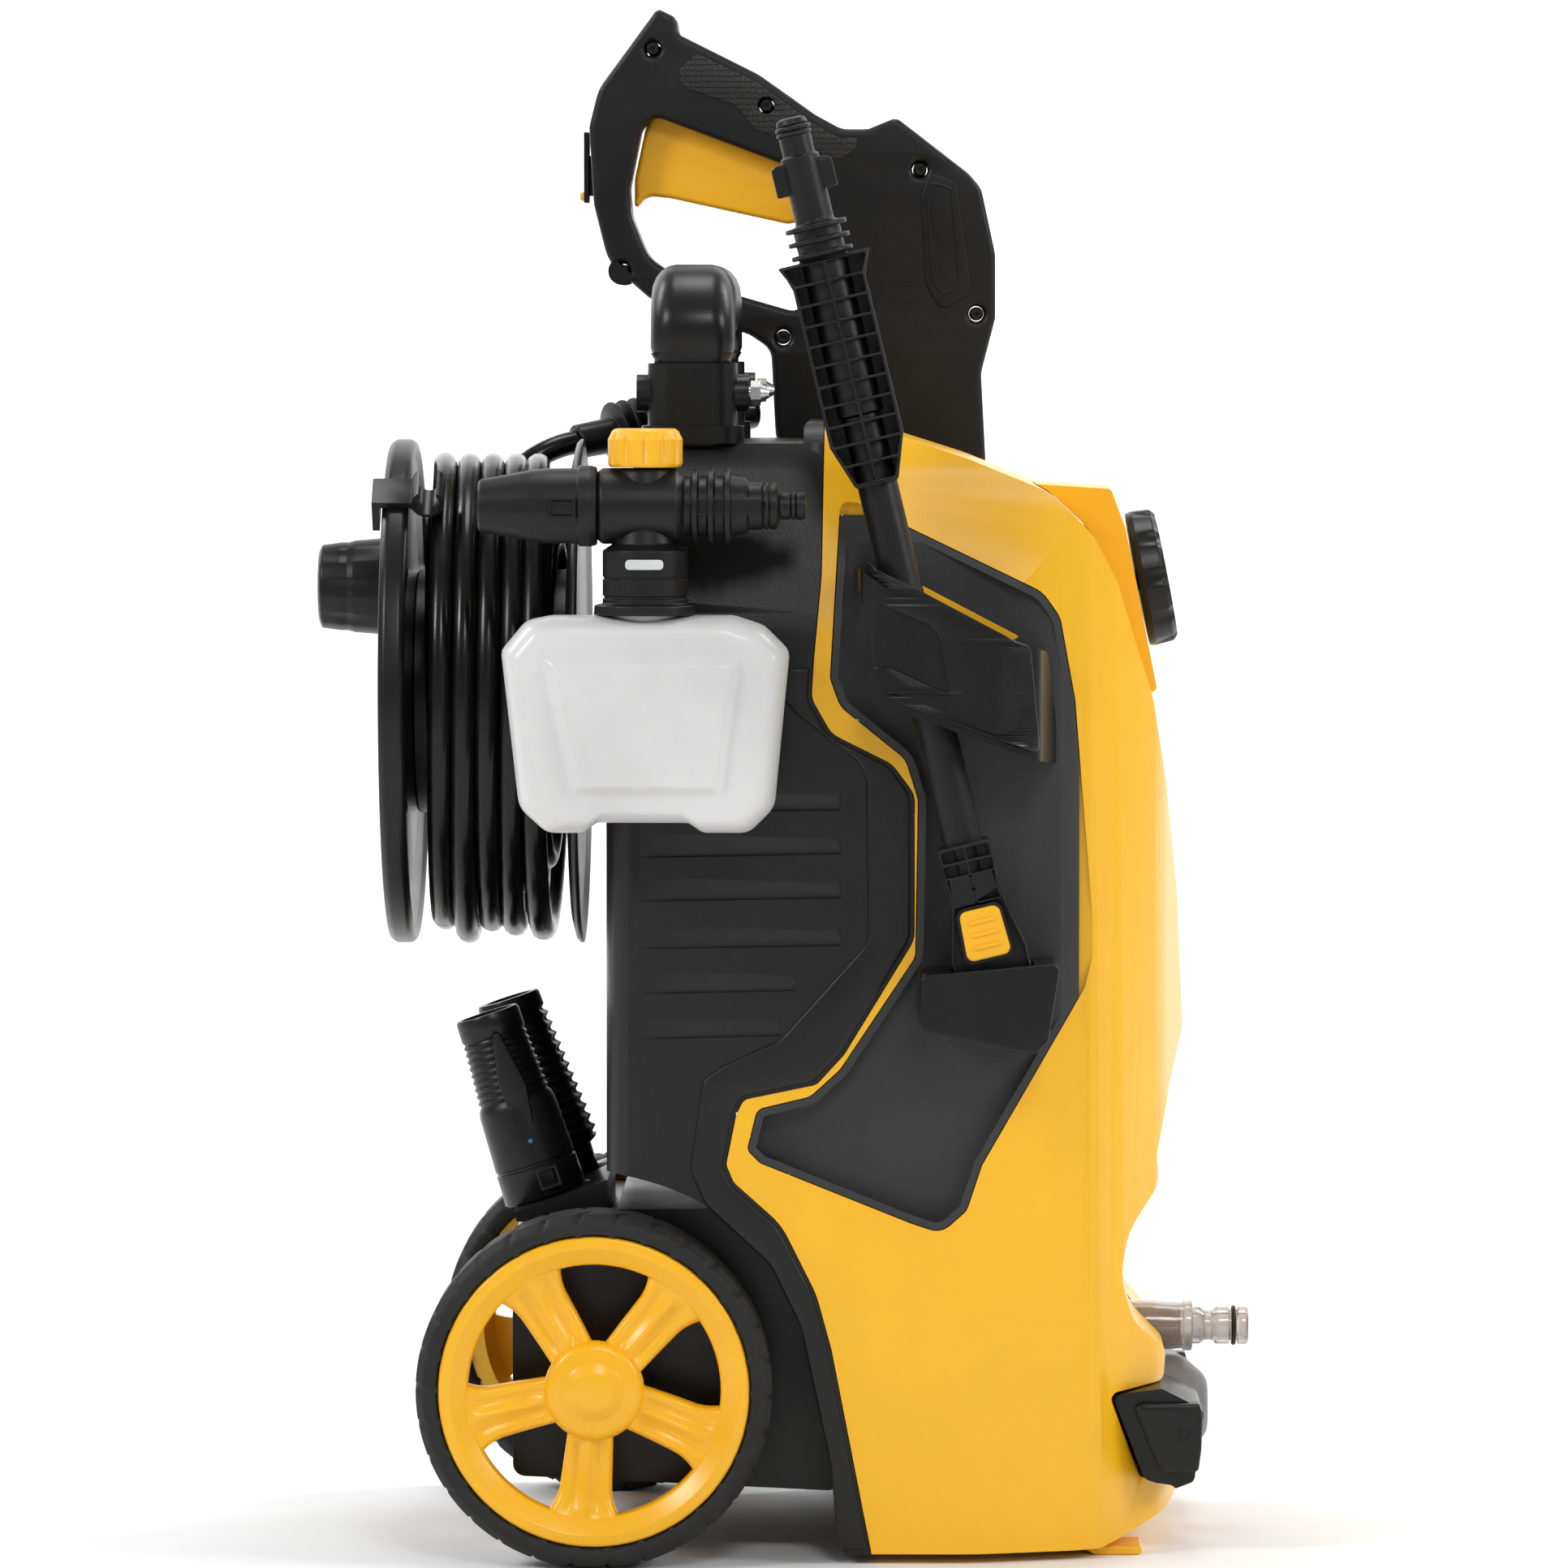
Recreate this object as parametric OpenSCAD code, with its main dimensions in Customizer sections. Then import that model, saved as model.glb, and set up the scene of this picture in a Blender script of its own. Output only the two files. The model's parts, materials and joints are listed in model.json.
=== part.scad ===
// Upright electric pressure washer on two wheels, with hose reel, trigger gun, lance,
// foam bottle and two spare nozzles stored on it. Millimetres. The front (switch and water
// inlet) faces +X, the hose reel faces -X, and -Y is the side that carries the lance.

/* [Body] */
// Width across the two side walls
body_w = 230; // [200:1:280]
// Depth from the rear wall to the front bulge
body_d = 223; // [190:1:270]
// Height of the top edge above the floor
body_h = 455; // [390:1:550]
// Wall of the moulded shells
wall = 3; // [2:0.5:4]
// Depth of the side pockets that hold gun and lance
pocket_depth = 10; // [7:0.5:14]

/* [Wheels] */
// Radius of the tyre
wheel_r = 71; // [60:1:86]
// Width of the tyre
tyre_w = 34; // [26:1:40]
// Radial thickness of the tyre
tyre_t = 9; // [6:0.5:12]
// Radius of the steel axle
axle_r = 6; // [5:0.5:8]
// How far the tyres stand out past the side walls
wheel_out = 19; // [14:1:26]

/* [Hose reel] */
// Radius of the reel flanges
flange_r = 103.5; // [86:0.5:110]
// Radius of the drum
drum_r = 50; // [40:1:60]
// Clear width between the flanges
reel_gap = 62; // [52:1:70]
// Radius of the hollow reel spindle
spindle_r = 8; // [6:0.5:11]
// Outer diameter of the high-pressure hose
hose_d = 10; // [8:0.5:10.5]
// Radius of the crank's turning circle
crank_r = 43; // [34:1:52]

/* [Handle] */
// Diameter of the handle's grip bar
grip_d = 32; // [27:1:38]
// Thickness of a handle leg
leg_t = 22; // [16:1:26]
// How far the handle pulls out
handle_travel = 170; // [100:5:180]

/* [Accessories] */
// Thickness of the trigger gun
gun_t = 40; // [34:1:44]
// Radius of the lance tube
lance_r = 8; // [6.5:0.5:9]
// Thickness of the foam bottle, front to back
bottle_t = 44; // [36:1:54]
// Radius of the on-off knob
knob_r = 28; // [23:1:33]

/* [Hidden] */
$fn = 48;

// Clearances
seam_gap = 0.4;      // between parts that close against each other
fit_gap = 0.06;      // radial clearance of a running shaft
slide_gap = 0.5;     // around the handle legs
move_gap = 3;        // between a turning part and what it passes
skin = 0.3;          // between soft or curved parts that meet across a joint

// The body's outlines are drawn on a 223 x 455 side view and stretched to the chosen size.
draw_d = 223;
draw_h = 455;
function sx(x) = x * body_d / draw_d;
function sz(z) = z * body_h / draw_h;
function stretched(pts) = [for (p = pts) [sx(p[0]), sz(p[1]), p[2]]];

half_w = body_w / 2;

// ---- 2D outlines with rounded corners: each point is [x, z, corner radius] ----
arc_steps = 5;
function unit(v) = v / norm(v);
function flat(p) = [p[0], p[1]];
function corner(before, at, after, r) =
    let (u = unit(flat(before) - flat(at)), w = unit(flat(after) - flat(at)),
        half = acos(max(-1, min(1, u * w))) / 2,
        reach = min(r / tan(half), 0.49 * norm(flat(before) - flat(at)), 0.49 * norm(flat(after) - flat(at))),
        rr = reach * tan(half),
        centre = flat(at) + unit(u + w) * rr / sin(half),
        from = flat(at) + u * reach, to = flat(at) + w * reach,
        a0 = atan2(from[1] - centre[1], from[0] - centre[0]),
        turn = atan2(to[1] - centre[1], to[0] - centre[0]) - a0,
        sweep = turn > 180 ? turn - 360 : turn < -180 ? turn + 360 : turn)
    [for (i = [0:arc_steps]) centre + rr * [cos(a0 + sweep * i / arc_steps), sin(a0 + sweep * i / arc_steps)]];
function bends(before, at, after) = norm(unit(flat(before) - flat(at)) + unit(flat(after) - flat(at))) > 0.01;
function rounded(pts) = let (n = len(pts)) [for (i = [0:n - 1])
    each (pts[i][2] > 0 && bends(pts[(i + n - 1) % n], pts[i], pts[(i + 1) % n]) ? corner(pts[(i + n - 1) % n], pts[i], pts[(i + 1) % n], pts[i][2]) : [flat(pts[i])])];

// A side-view outline (x, z) given thickness from y0 to y1
module side_slab(y0, y1) {
    translate([0, y1, 0]) rotate([90, 0, 0]) linear_extrude(y1 - y0) children();
}
// Turned parts whose axis runs along X, or along Y
module along_x() { rotate([0, 90, 0]) children(); }
module along_y() { rotate([-90, 0, 0]) children(); }
// Places a part on the lance's leaning axis, its own Z running up the lance
module tube(r_out, r_in, h) {
    difference() {
        cylinder(r = r_out, h = h);
        translate([0, 0, -1]) cylinder(r = r_in, h = h + 2);
    }
}
module rounded_bar(w, t, h, r) { // an upright bar with round edges, centred
    linear_extrude(h) union() {
        square([w - 2 * r, t], center = true);
        square([w, t - 2 * r], center = true);
        for (i = [-1, 1], j = [-1, 1]) translate([i * (w / 2 - r), j * (t / 2 - r)]) circle(r);
    }
}

// ---- Body outlines ----
// The seam where the black rear housing meets the yellow cover, from top to bottom
seam = [[17, 455, 0], [16, 395, 0], [13, 362, 12], [12, 346, 10], [20, 332, 10], [44, 320, 12],
    [53, 308, 10], [53, 250, 12], [25, 204, 10], [14, 192, 6], [-15, 186, 4], [-18, 180, 3],
    [-22, 160, 4], [-19, 153, 6], [0, 136, 30], [14, 108, 40], [20, 86, 30], [36, 4, 0]];
rear_edge = [[25, 4, 0], [20, 40, 0], [14, 76, 0], [-10, 140, 0], [-70, 140, 0], [-70, 381, 5],
    [-59, 386, 3], [-59, 447, 4], [9, 447, 1], [9, 455, 2]];
front_edge = [[128, 4, 3], [138, 8, 3], [152, 14, 3], [160, 18, 4], [158, 28, 3], [144, 30, 3], [131, 66, 3],
    [154, 68, 3], [155, 80, 6], [141, 94, 20], [136, 112, 30], [139, 130, 30], [152, 148, 12],
    [151, 160, 12], [157, 188, 14], [163, 208, 14], [160, 265, 40], [155, 308, 60], [149, 345, 60],
    [142, 366, 40], [134, 392, 40], [124, 411, 30], [106, 428, 30], [74, 441, 60], [46, 450, 60]];
rear_outline = rounded(stretched(concat(seam, rear_edge)));
cover_outline = rounded(stretched(concat(front_edge, [for (p = seam) p])));
body_outline = rounded(stretched(concat(front_edge, [seam[0]],
    [for (i = [len(rear_edge) - 1:-1:0]) rear_edge[i]], [seam[len(seam) - 1]])));

axle_x = sx(-74);
arch_r = wheel_r + 14;
wheel_y = half_w + wheel_out - tyre_w / 2;
base_half_w = wheel_y - tyre_w / 2 - 11;
module arch() { translate([axle_x, wheel_r]) circle(arch_r); }

// Plan view of the body: flat sides, round rear corners, bowed front
plan_round = 22;
function plan(inset) = [
    [sx(-70) + inset, -half_w + inset, plan_round], [sx(78), -half_w + inset, 60], [sx(128), -half_w * 0.87 + inset, 50],
    [sx(154), -half_w * 0.56 + inset, 40], [sx(166) - inset, 0, 90], [sx(154), half_w * 0.56 - inset, 40],
    [sx(128), half_w * 0.87 - inset, 50], [sx(78), half_w - inset, 60], [sx(-70) + inset, half_w - inset, plan_round]];
// End view of the body: upright sides that lean in towards the top
function end_view(inset) = [
    [-half_w + inset, -1, 0], [-half_w + inset, sz(372), 60], [-half_w * 0.84 + inset, sz(438), 30], [-half_w * 0.74, sz(456) - inset, 20],
    [half_w * 0.74, sz(456) - inset, 20], [half_w * 0.84 - inset, sz(438), 30], [half_w - inset, sz(372), 60], [half_w - inset, -1, 0]];
module envelope(inset) {
    intersection() {
        translate([0, 0, -1]) linear_extrude(body_h + 20) polygon(rounded(plan(inset)));
        translate([sx(-80), 0, 0]) rotate([90, 0, 90]) linear_extrude(sx(260)) polygon(rounded(end_view(inset)));
    }
}
module body_shape() { difference() { polygon(body_outline); arch(); } }
module cavity() {
    intersection() {
        side_slab(-half_w, half_w) offset(delta = -wall) body_shape();
        envelope(wall);
    }
}

// ---- Places shared by several parts ----
leg_x = sx(-35.5);
leg_y = half_w - 35;
leg_w = grip_d - 1;
deck_z = sz(447);                 // top of the rear housing, under the handle collars
collar_h = 25;
foot_h = 7;
bow_top = deck_z + foot_h + collar_h + 40;
leg_bottom = bow_top - handle_travel - 112;
reel_y = 6;
reel_z = sz(344);
housing_x = sx(-70);              // rear wall
inner_flange_x = housing_x - 12;  // face of the inner flange nearest the housing
inner_flange_t = 6;
drum_x = inner_flange_x - inner_flange_t;
outer_flange_x = drum_x - reel_gap;
outer_flange_t = 12;
crank_boss_t = 5;
crank_knob_l = 26.6;
coil_r = flange_r - 5.5;
side_y = half_w + 17;             // plane of the stored lance
gun_y = half_w + 25;              // plane of the stored gun
gun_seat = deck_z - 75;           // foot of the gun's shells
inlet_z = sz(83);
inlet_x = sx(138);
motor_x = sx(70);
motor_r = 50;
pipe_r = 5;
pipe_x = motor_x - motor_r - 12;
// The pump's outlet keeps above the wheel arch, and the motor above the outlet
arch_top = wheel_r + sqrt(max(0, pow(arch_r + wall, 2) - pow(pipe_x - pipe_r - axle_x, 2)));
outlet_z = max(sz(110), arch_top + pipe_r - 9);
motor_z = max(sz(152), outlet_z + 42);
motor_h = 140;
shaft_r = 6;
knob_z = sz(390);
knob_x = sx(144.3);
knob_lean = 11;                   // the boss leans back by this
knob_t = 12;
knob_shaft_r = 4;
switch_l = 26;

// ---- Body shells ----
louvre_z = [305, 287.5, 270, 251, 233, 215];
louvre_end = [24, 24, 24, 24, 6, 0];
louvre_deep = 1.6;
module louvres() {
    for (side = [-1, 1], i = [0:len(louvre_z) - 1]) {
        y = side * (half_w - louvre_deep / 2);
        side_slab(y - louvre_deep / 2 - 0.01, y + louvre_deep / 2 + 0.01) polygon([for (p = [[-59, 5], [-59, -5],
            [louvre_end[i], -3.5], [louvre_end[i], 2.5]]) [sx(p[0]), sz(louvre_z[i] + p[1])]]);
    }
}
module leg_holes() {
    for (side = [-1, 1]) translate([leg_x, side * leg_y, deck_z - 20])
        rounded_bar(leg_w + 2 * slide_gap, leg_t + 2 * slide_gap, 40, 9);
}
module rear_housing() {
    color([0.04, 0.04, 0.045]) difference() {
        intersection() {
            side_slab(-half_w, half_w) difference() { polygon(rear_outline); arch(); }
            envelope(0);
        }
        cavity();
        louvres();
        leg_holes();
        translate([housing_x - 1, reel_y, reel_z]) along_x() cylinder(r = spindle_r + seam_gap, h = wall + 2);
        translate([housing_x - 1, gland_y, gland_z]) along_x() cylinder(r = gland_r, h = wall + 2);
    }
}

panel_outline = rounded(stretched([[24, 424, 4], [31, 423, 4], [54, 412, 0], [104, 388, 14], [111, 378, 12], [117, 345, 0],
    [125, 246, 10], [121, 230, 10], [80, 160, 0], [74, 142, 6], [64, 133, 8], [52, 137, 8], [-8, 161, 4], [-13, 166, 3],
    [-9, 182, 4], [12, 187, 8], [24, 198, 12], [54, 243, 8], [55, 306, 8], [50, 322, 10], [24, 343, 10], [20, 354, 8]]));
module panel_shape() { polygon(panel_outline); }
bumper_outline = rounded(stretched([[133, 65, 3], [153, 67.5, 0], [170, 59, 4], [166, 30, 3], [158, 27, 3], [146, 31, 4]]));
module front_cover() {
    color([0.98, 0.70, 0.07]) difference() {
        intersection() {
            translate([seam_gap, 0, 0]) side_slab(-half_w, half_w) difference() { polygon(cover_outline); arch(); }
            envelope(0);
        }
        cavity();
        for (side = [-1, 1]) side_slab(min(side * half_w, side * (half_w - pocket_depth - wall - 2)) - 1,
            max(side * half_w, side * (half_w - pocket_depth - wall - 2)) + 1) offset(delta = seam_gap) panel_shape();
        translate([inlet_x - 30, 0, inlet_z]) along_x() cylinder(r = bowl_r + 2.5, h = 60);
        on_knob(-40) cylinder(r = knob_shaft_r + 1.5, h = 60);
    }
}
boss_half = 42;
module switch_boss() {
    color([0.98, 0.68, 0.06]) difference() {
        side_slab(-boss_half, boss_half) difference() {
            polygon(rounded(stretched([[102, 430, 0], [133, 428, 2], [139, 412, 0], [152, 346, 2], [146, 345, 0], [120, 380, 0]])));
            translate([seam_gap, seam_gap]) polygon(cover_outline);
            translate([-2 * seam_gap, -seam_gap]) polygon(cover_outline);
            polygon(cover_outline);
        }
        on_knob(0) cylinder(r = knob_r + 1, h = 30);
        on_knob(-40) cylinder(r = knob_shaft_r + 1.5, h = 60);
    }
}
module base_tray() {
    color([0.03, 0.03, 0.03]) difference() {
        side_slab(-base_half_w, base_half_w) difference() {
            polygon(rounded([[sx(-108), 32, 5], [sx(22), 26, 3], [sx(22), sz(140), 0], [sx(-66), sz(140) - seam_gap, 0],
                [sx(-66), 133, 0], [sx(-108), 133, 6]]));
            offset(delta = seam_gap) body_shape();
        }
        side_slab(-base_half_w + wall, base_half_w - wall) difference() {
            polygon([[sx(-108) + wall, 32 + wall + 2], [sx(6), 32 + wall], [sx(6), 140], [sx(-96), 120], [sx(-108) + wall, 112]]);
            offset(delta = seam_gap + wall) body_shape();
            translate([axle_x, wheel_r]) circle(axle_r + 7);
        }
        translate([axle_x, -base_half_w - 1, wheel_r]) along_y() cylinder(r = axle_r + 0.05, h = 2 * base_half_w + 2);
    }
}
foot_x = 128;
module front_feet() {
    color([0.98, 0.70, 0.07]) for (side = [-1, 1])
        side_slab(side * half_w * 0.64 - 14, side * half_w * 0.64 + 14)
            polygon(rounded([[sx(foot_x) - 2, 0, 3], [sx(foot_x) + 17, 0, 3], [sx(foot_x) + 17, sz(4) - seam_gap, 0], [sx(foot_x) - 8, sz(4) - seam_gap, 0]]));
}

// ---- Side pockets with their holders ----
pocket_floor = half_w - pocket_depth;
module pocket() { // for the -Y side
    color([0.05, 0.05, 0.055]) intersection() {
        difference() {
            side_slab(-half_w, -pocket_floor + wall) panel_shape();
            side_slab(-half_w - 1, -pocket_floor) offset(delta = -wall) panel_shape();
        }
        envelope(0);
    }
}
module lance_pocket() { pocket(); }
module gun_pocket() { mirror([0, 1, 0]) pocket(); }

strap_t = 3;
strap_clear = lance_r + 4.5;     // from the lance's axis to the strap, so that the lance's head passes
strap_out = side_y + strap_clear;
// The strap's run in plan, from its left root over the lance to its right root
function strap_run(grow) = [[sx(32) - grow, -pocket_floor + 1, 0], [sx(35) - grow, -strap_out + 4 - grow, 3],
    [sx(40) - grow / 2, -strap_out - grow, 3], [sx(84) + grow / 2, -strap_out - grow, 14], [sx(100) + grow, -strap_out + 12 - grow, 10],
    [sx(107) + grow, -pocket_floor + 1, 0]];
module lance_strap() {
    color([0.05, 0.05, 0.05]) intersection() {
        translate([0, 0, sz(300)]) linear_extrude(sz(120)) difference() {
            polygon(rounded(strap_run(strap_t)));
            polygon(rounded(strap_run(0)));
            translate([0, -pocket_floor]) square([400, 20]);
        }
        side_slab(-strap_out - 20, 0) polygon(rounded(stretched([[28, 401, 2], [50, 385, 8], [106, 365, 2], [112, 319, 2],
            [92, 326, 8], [38, 346, 6], [33, 352, 3], [37, 362, 3], [34, 380, 4]])));
    }
}
// ---- The lance's leaning axis ----
lance_top = [sx(4), sz(576)];
lance_low = [sx(84), sz(241)];
lance_lean = atan2(lance_low[0] - lance_top[0], lance_top[1] - lance_low[1]);
module on_lance() { translate([lance_low[0], -side_y, lance_low[1]]) rotate([0, -lance_lean, 0]) children(); }
lance_len = norm(lance_top - lance_low);

head_w = 30;
head_t = 22;
cup_gap = 1;
cup_deep = 23;
module lance_cup() {
    cup_y = side_y + head_t / 2 + cup_gap;
    color([0.05, 0.05, 0.05]) difference() {
        side_slab(-cup_y - wall, -pocket_floor) polygon(rounded([for (p = [[-28, -3, 3], [27, 2, 3], [22, -29, 3], [17, -34, 3], [-29, -24, 4]])
            [lance_low[0] + p[0], lance_low[1] + p[1], p[2]]]));
        on_lance() translate([-head_w / 2 - cup_gap, -head_t / 2 - cup_gap, -cup_deep]) cube([head_w + 2 * cup_gap, head_t + 2 * cup_gap, 60]);
    }
}
gun_x = sx(60);
holder_h = 30;
holder_z = gun_seat - 2 - holder_h;
module gun_holder() {
    color([0.05, 0.05, 0.05]) difference() {
        union() {
            translate([gun_x - barrel_r - 2 - wall, pocket_floor, holder_z]) cube([2 * (barrel_r + 2 + wall), gun_y - pocket_floor, holder_h]);
            translate([gun_x, gun_y, holder_z]) cylinder(r = barrel_r + 2 + wall, h = holder_h);
        }
        translate([gun_x, gun_y, holder_z - 1]) cylinder(r = barrel_r + 2, h = holder_h + 30);
    }
}

// ---- Front fittings ----
module front_bumper() {
    color([0.03, 0.03, 0.03]) difference() {
        union() {
            side_slab(-half_w * 0.78, half_w * 0.78) difference() {
                polygon(bumper_outline);
                offset(delta = seam_gap) body_shape();
            }
        }
        side_slab(-cap_r - 6, cap_r + 6) translate([sx(150), 0]) square([60, sz(80)]);
    }
}
cap_r = 21;
cap_z = sz(50);
module outlet_cap() {
    color([0.36, 0.36, 0.37]) difference() {
        translate([sx(150) + seam_gap, 0, cap_z]) along_x() rotate_extrude() polygon(rounded([[0, 0, 0], [cap_r, 0, 0], [cap_r, 13, 10], [cap_r * 0.55, 24, 8], [0, 24, 0]]));
        side_slab(-cap_r - 1, cap_r + 1) offset(delta = seam_gap) body_shape();
    }
}
bowl_r = 10.5;
bowl_l = 30;
nose_r = 7.75;
module on_knob(d) { translate([knob_x, 0, knob_z]) rotate([0, 90 - knob_lean, 0]) translate([0, 0, d]) children(); }
module on_inlet(x) { translate([inlet_x + x, 0, inlet_z]) along_x() children(); }
module inlet_bowl() {
    color([0.85, 0.80, 0.78, 0.4]) difference() {
        union() {
            on_inlet(0) cylinder(r = bowl_r + 2, h = 7);
            on_inlet(0) cylinder(r = bowl_r, h = bowl_l);
        }
        on_inlet(-1) cylinder(r = bowl_r - 2, h = bowl_l - 1);
        on_inlet(bowl_l - 3) cylinder(r = 4.5, h = 10);
    }
}
module inlet_spigot() {
    color([0.9, 0.9, 0.9, 0.4]) difference() {
        union() {
            on_inlet(bowl_l + 0.02) cylinder(r = 8.5, h = 4);
            on_inlet(bowl_l) cylinder(r = 5.6, h = 14);
            on_inlet(bowl_l + 11) cylinder(r = nose_r, h = 5);
            on_inlet(bowl_l + 16) cylinder(r = 6.2, h = 3);
            on_inlet(bowl_l + 18) cylinder(r = nose_r, h = 5);
        }
        on_inlet(bowl_l - 1) cylinder(r = 4, h = 30);
    }
}
module inlet_o_ring() {
    color([0.02, 0.02, 0.02]) on_inlet(bowl_l + 17) rotate_extrude() translate([7.25, 0]) circle(0.98);
}
module inlet_screen() {
    color([0.80, 0.62, 0.55]) on_inlet(2) tube(bowl_r - 3.2, bowl_r - 4.2, bowl_l - 7);
}

// ---- Motor, pump and pipework inside ----
module motor_can() {
    color([0.55, 0.56, 0.58]) translate([motor_x, 0, motor_z]) difference() {
        cylinder(r = motor_r, h = motor_h);
        translate([0, 0, 5]) cylinder(r = motor_r - 4, h = motor_h - 10);
        translate([0, 0, -1]) cylinder(r = shaft_r + fit_gap, h = motor_h + 2);
    }
}
module motor_rotor() {
    color([0.6, 0.42, 0.25]) translate([motor_x, 0, motor_z]) {
        translate([0, 0, -8]) cylinder(r = shaft_r, h = motor_h + 24);
        translate([0, 0, 14]) cylinder(r = motor_r - 10, h = motor_h - 28);
        translate([0, 0, motor_h + 4]) difference() {
            cylinder(r = motor_r - 4, h = 10);
            for (a = [0:45:315]) rotate(a) translate([14, -5, 3]) cube([60, 10, 10]);
        }
    }
}
pump_r = 38;
module pump() {
    color([0.62, 0.63, 0.65]) difference() {
        union() {
            translate([motor_x, 0, sz(52)]) cylinder(r = pump_r, h = motor_z - sz(52) - seam_gap);
            translate([motor_x - 50, -16, outlet_z]) cube([30, 44, 26]);
        }
        translate([motor_x, 0, motor_z - 12]) cylinder(r = shaft_r + 2, h = 14);
    }
}
module inlet_pipe() {
    color([0.1, 0.1, 0.1]) translate([motor_x + pump_r + 0.1, 0, inlet_z]) along_x() difference() {
        cylinder(r = 6, h = inlet_x - motor_x - pump_r - 0.1 - seam_gap);
        translate([0, 0, 1.5]) cylinder(r = 3.5, h = 90);
    }
}
module outlet_pipe() {
    color([0.1, 0.1, 0.1]) {
        translate([pipe_x, reel_y, outlet_z + 13]) along_x() cylinder(r = pipe_r, h = motor_x - 50 - pipe_x - seam_gap);
        translate([pipe_x, reel_y, outlet_z + 13]) cylinder(r = pipe_r, h = reel_z - outlet_z - 13);
        translate([pipe_x, reel_y, outlet_z + 13]) sphere(r = pipe_r);
        translate([pipe_x, reel_y, reel_z]) sphere(r = pipe_r);
        translate([housing_x + wall + 4, reel_y, reel_z]) along_x() cylinder(r = pipe_r, h = pipe_x - housing_x - wall - 4);
    }
}
box_back = 20; // from the knob's base to the switch
module switch_box() {
    color([0.15, 0.15, 0.16]) difference() {
        on_knob(-box_back - switch_l) translate([-17, -17, 0]) cube([34, 34, switch_l]);
        on_knob(-box_back - 12) cylinder(r = knob_shaft_r + fit_gap, h = 20);
    }
}
module switch_knob() {
    color([0.03, 0.03, 0.03]) union() {
        on_knob(skin + 0.2) difference() {
            cylinder(r = knob_r, h = knob_t);
            for (a = [0:45:315]) rotate(a) translate([knob_r + 3, 0, 3]) cylinder(r = 6, h = knob_t);
        }
        on_knob(-box_back - 11) cylinder(r = knob_shaft_r, h = box_back + 12);
    }
}
module capacitor() {
    color([0.7, 0.7, 0.72]) translate([housing_x + wall + 20, 0, sz(190)]) cylinder(r = 17, h = 72);
}
gland_y = half_w * 0.45;
gland_z = sz(176);
gland_r = 8;
module cord_gland() {
    color([0.03, 0.03, 0.03]) difference() {
        union() {
            translate([housing_x - 3, gland_y, gland_z]) along_x() cylinder(r = gland_r + 3, h = 3);
            translate([housing_x - 3, gland_y, gland_z]) along_x() cylinder(r = gland_r - 0.2, h = wall + 6);
        }
        translate([housing_x - 10, gland_y, gland_z]) along_x() cylinder(r = 4, h = 30);
    }
}

// ---- Handle ----
module handle_bow() {
    color([0.04, 0.04, 0.04]) union() {
        translate([leg_x, -leg_y - leg_t / 2, bow_top - grip_d / 2]) along_y() cylinder(d = grip_d, h = 2 * leg_y + leg_t);
        for (side = [-1, 1]) translate([leg_x, side * leg_y, leg_bottom]) rounded_bar(leg_w, leg_t, bow_top - grip_d / 2 - leg_bottom, 9);
    }
}
module handle_collars() {
    color([0.04, 0.04, 0.04]) for (side = [-1, 1]) translate([leg_x, side * leg_y, deck_z]) difference() {
        union() {
            rounded_bar(leg_w + 10, leg_t + 10, foot_h, 12);
            rounded_bar(leg_w + 5, leg_t + 5, foot_h + collar_h, 11);
            translate([-leg_w / 2 - 7, 0, foot_h + 13]) along_x() cylinder(r = 7.5, h = leg_w + 14);
        }
        translate([0, 0, -1]) rounded_bar(leg_w + 2 * slide_gap, leg_t + 2 * slide_gap, foot_h + collar_h + 20, 9.5);
        for (e = [-1, 1]) translate([e > 0 ? leg_w / 2 + 4 : -leg_w / 2 - 14, 0, foot_h + 13]) along_x() cylinder(r = 2.6, h = 10);
    }
}
module clamp_bolts() { // short clamp screws that press on the legs, with domed nuts
    color([0.6, 0.6, 0.6]) for (side = [-1, 1]) translate([leg_x + leg_w / 2 + slide_gap + 4, side * leg_y, deck_z + foot_h + 13]) along_x() union() {
        cylinder(r = 2.5, h = 5);
        translate([0, 0, 3.2]) cylinder(r = 5, h = 4, $fn = 6);
        translate([0, 0, 7]) cylinder(r1 = 4, r2 = 2, h = 3.5);
    }
}

// ---- Wheels ----
hub_r = 16;
spoke_n = 5;
rim_r = wheel_r - tyre_t;
module wheel(side) {
    color([0.98, 0.70, 0.07]) translate([axle_x, side * wheel_y, wheel_r]) mirror([0, side < 0 ? 1 : 0, 0]) difference() {
        union() {
            translate([0, -tyre_w / 2 + 3, 0]) along_y() tube(rim_r, rim_r - 7, tyre_w - 6);
            translate([0, -tyre_w / 2, 0]) along_y() cylinder(r = hub_r, h = tyre_w - 2);
            for (i = [0:spoke_n - 1]) rotate([0, 23 + i * 360 / spoke_n, 0]) side_slab(tyre_w / 2 - 12, tyre_w / 2 - 4)
                polygon([[hub_r - 4, -8], [rim_r - 5, -14], [rim_r - 5, 14], [hub_r - 4, 8]]);
        }
        translate([0, -tyre_w / 2 - 1, 0]) along_y() cylinder(r = axle_r + fit_gap, h = tyre_w + 2);
    }
}
module wheel_left() { wheel(-1); }
module wheel_right() { wheel(1); }
module tyre(side) {
    color([0.02, 0.02, 0.02]) translate([axle_x, side * wheel_y, wheel_r]) along_y() rotate_extrude($fn = 96)
        polygon(rounded([[rim_r, -tyre_w / 2 + 3, 1], [rim_r + 2, -tyre_w / 2, 2], [wheel_r, -tyre_w / 2, 7], [wheel_r, tyre_w / 2, 7],
            [rim_r + 2, tyre_w / 2, 2], [rim_r, tyre_w / 2 - 3, 1]]));
}
module tyre_left() { tyre(-1); }
module tyre_right() { tyre(1); }
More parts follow.
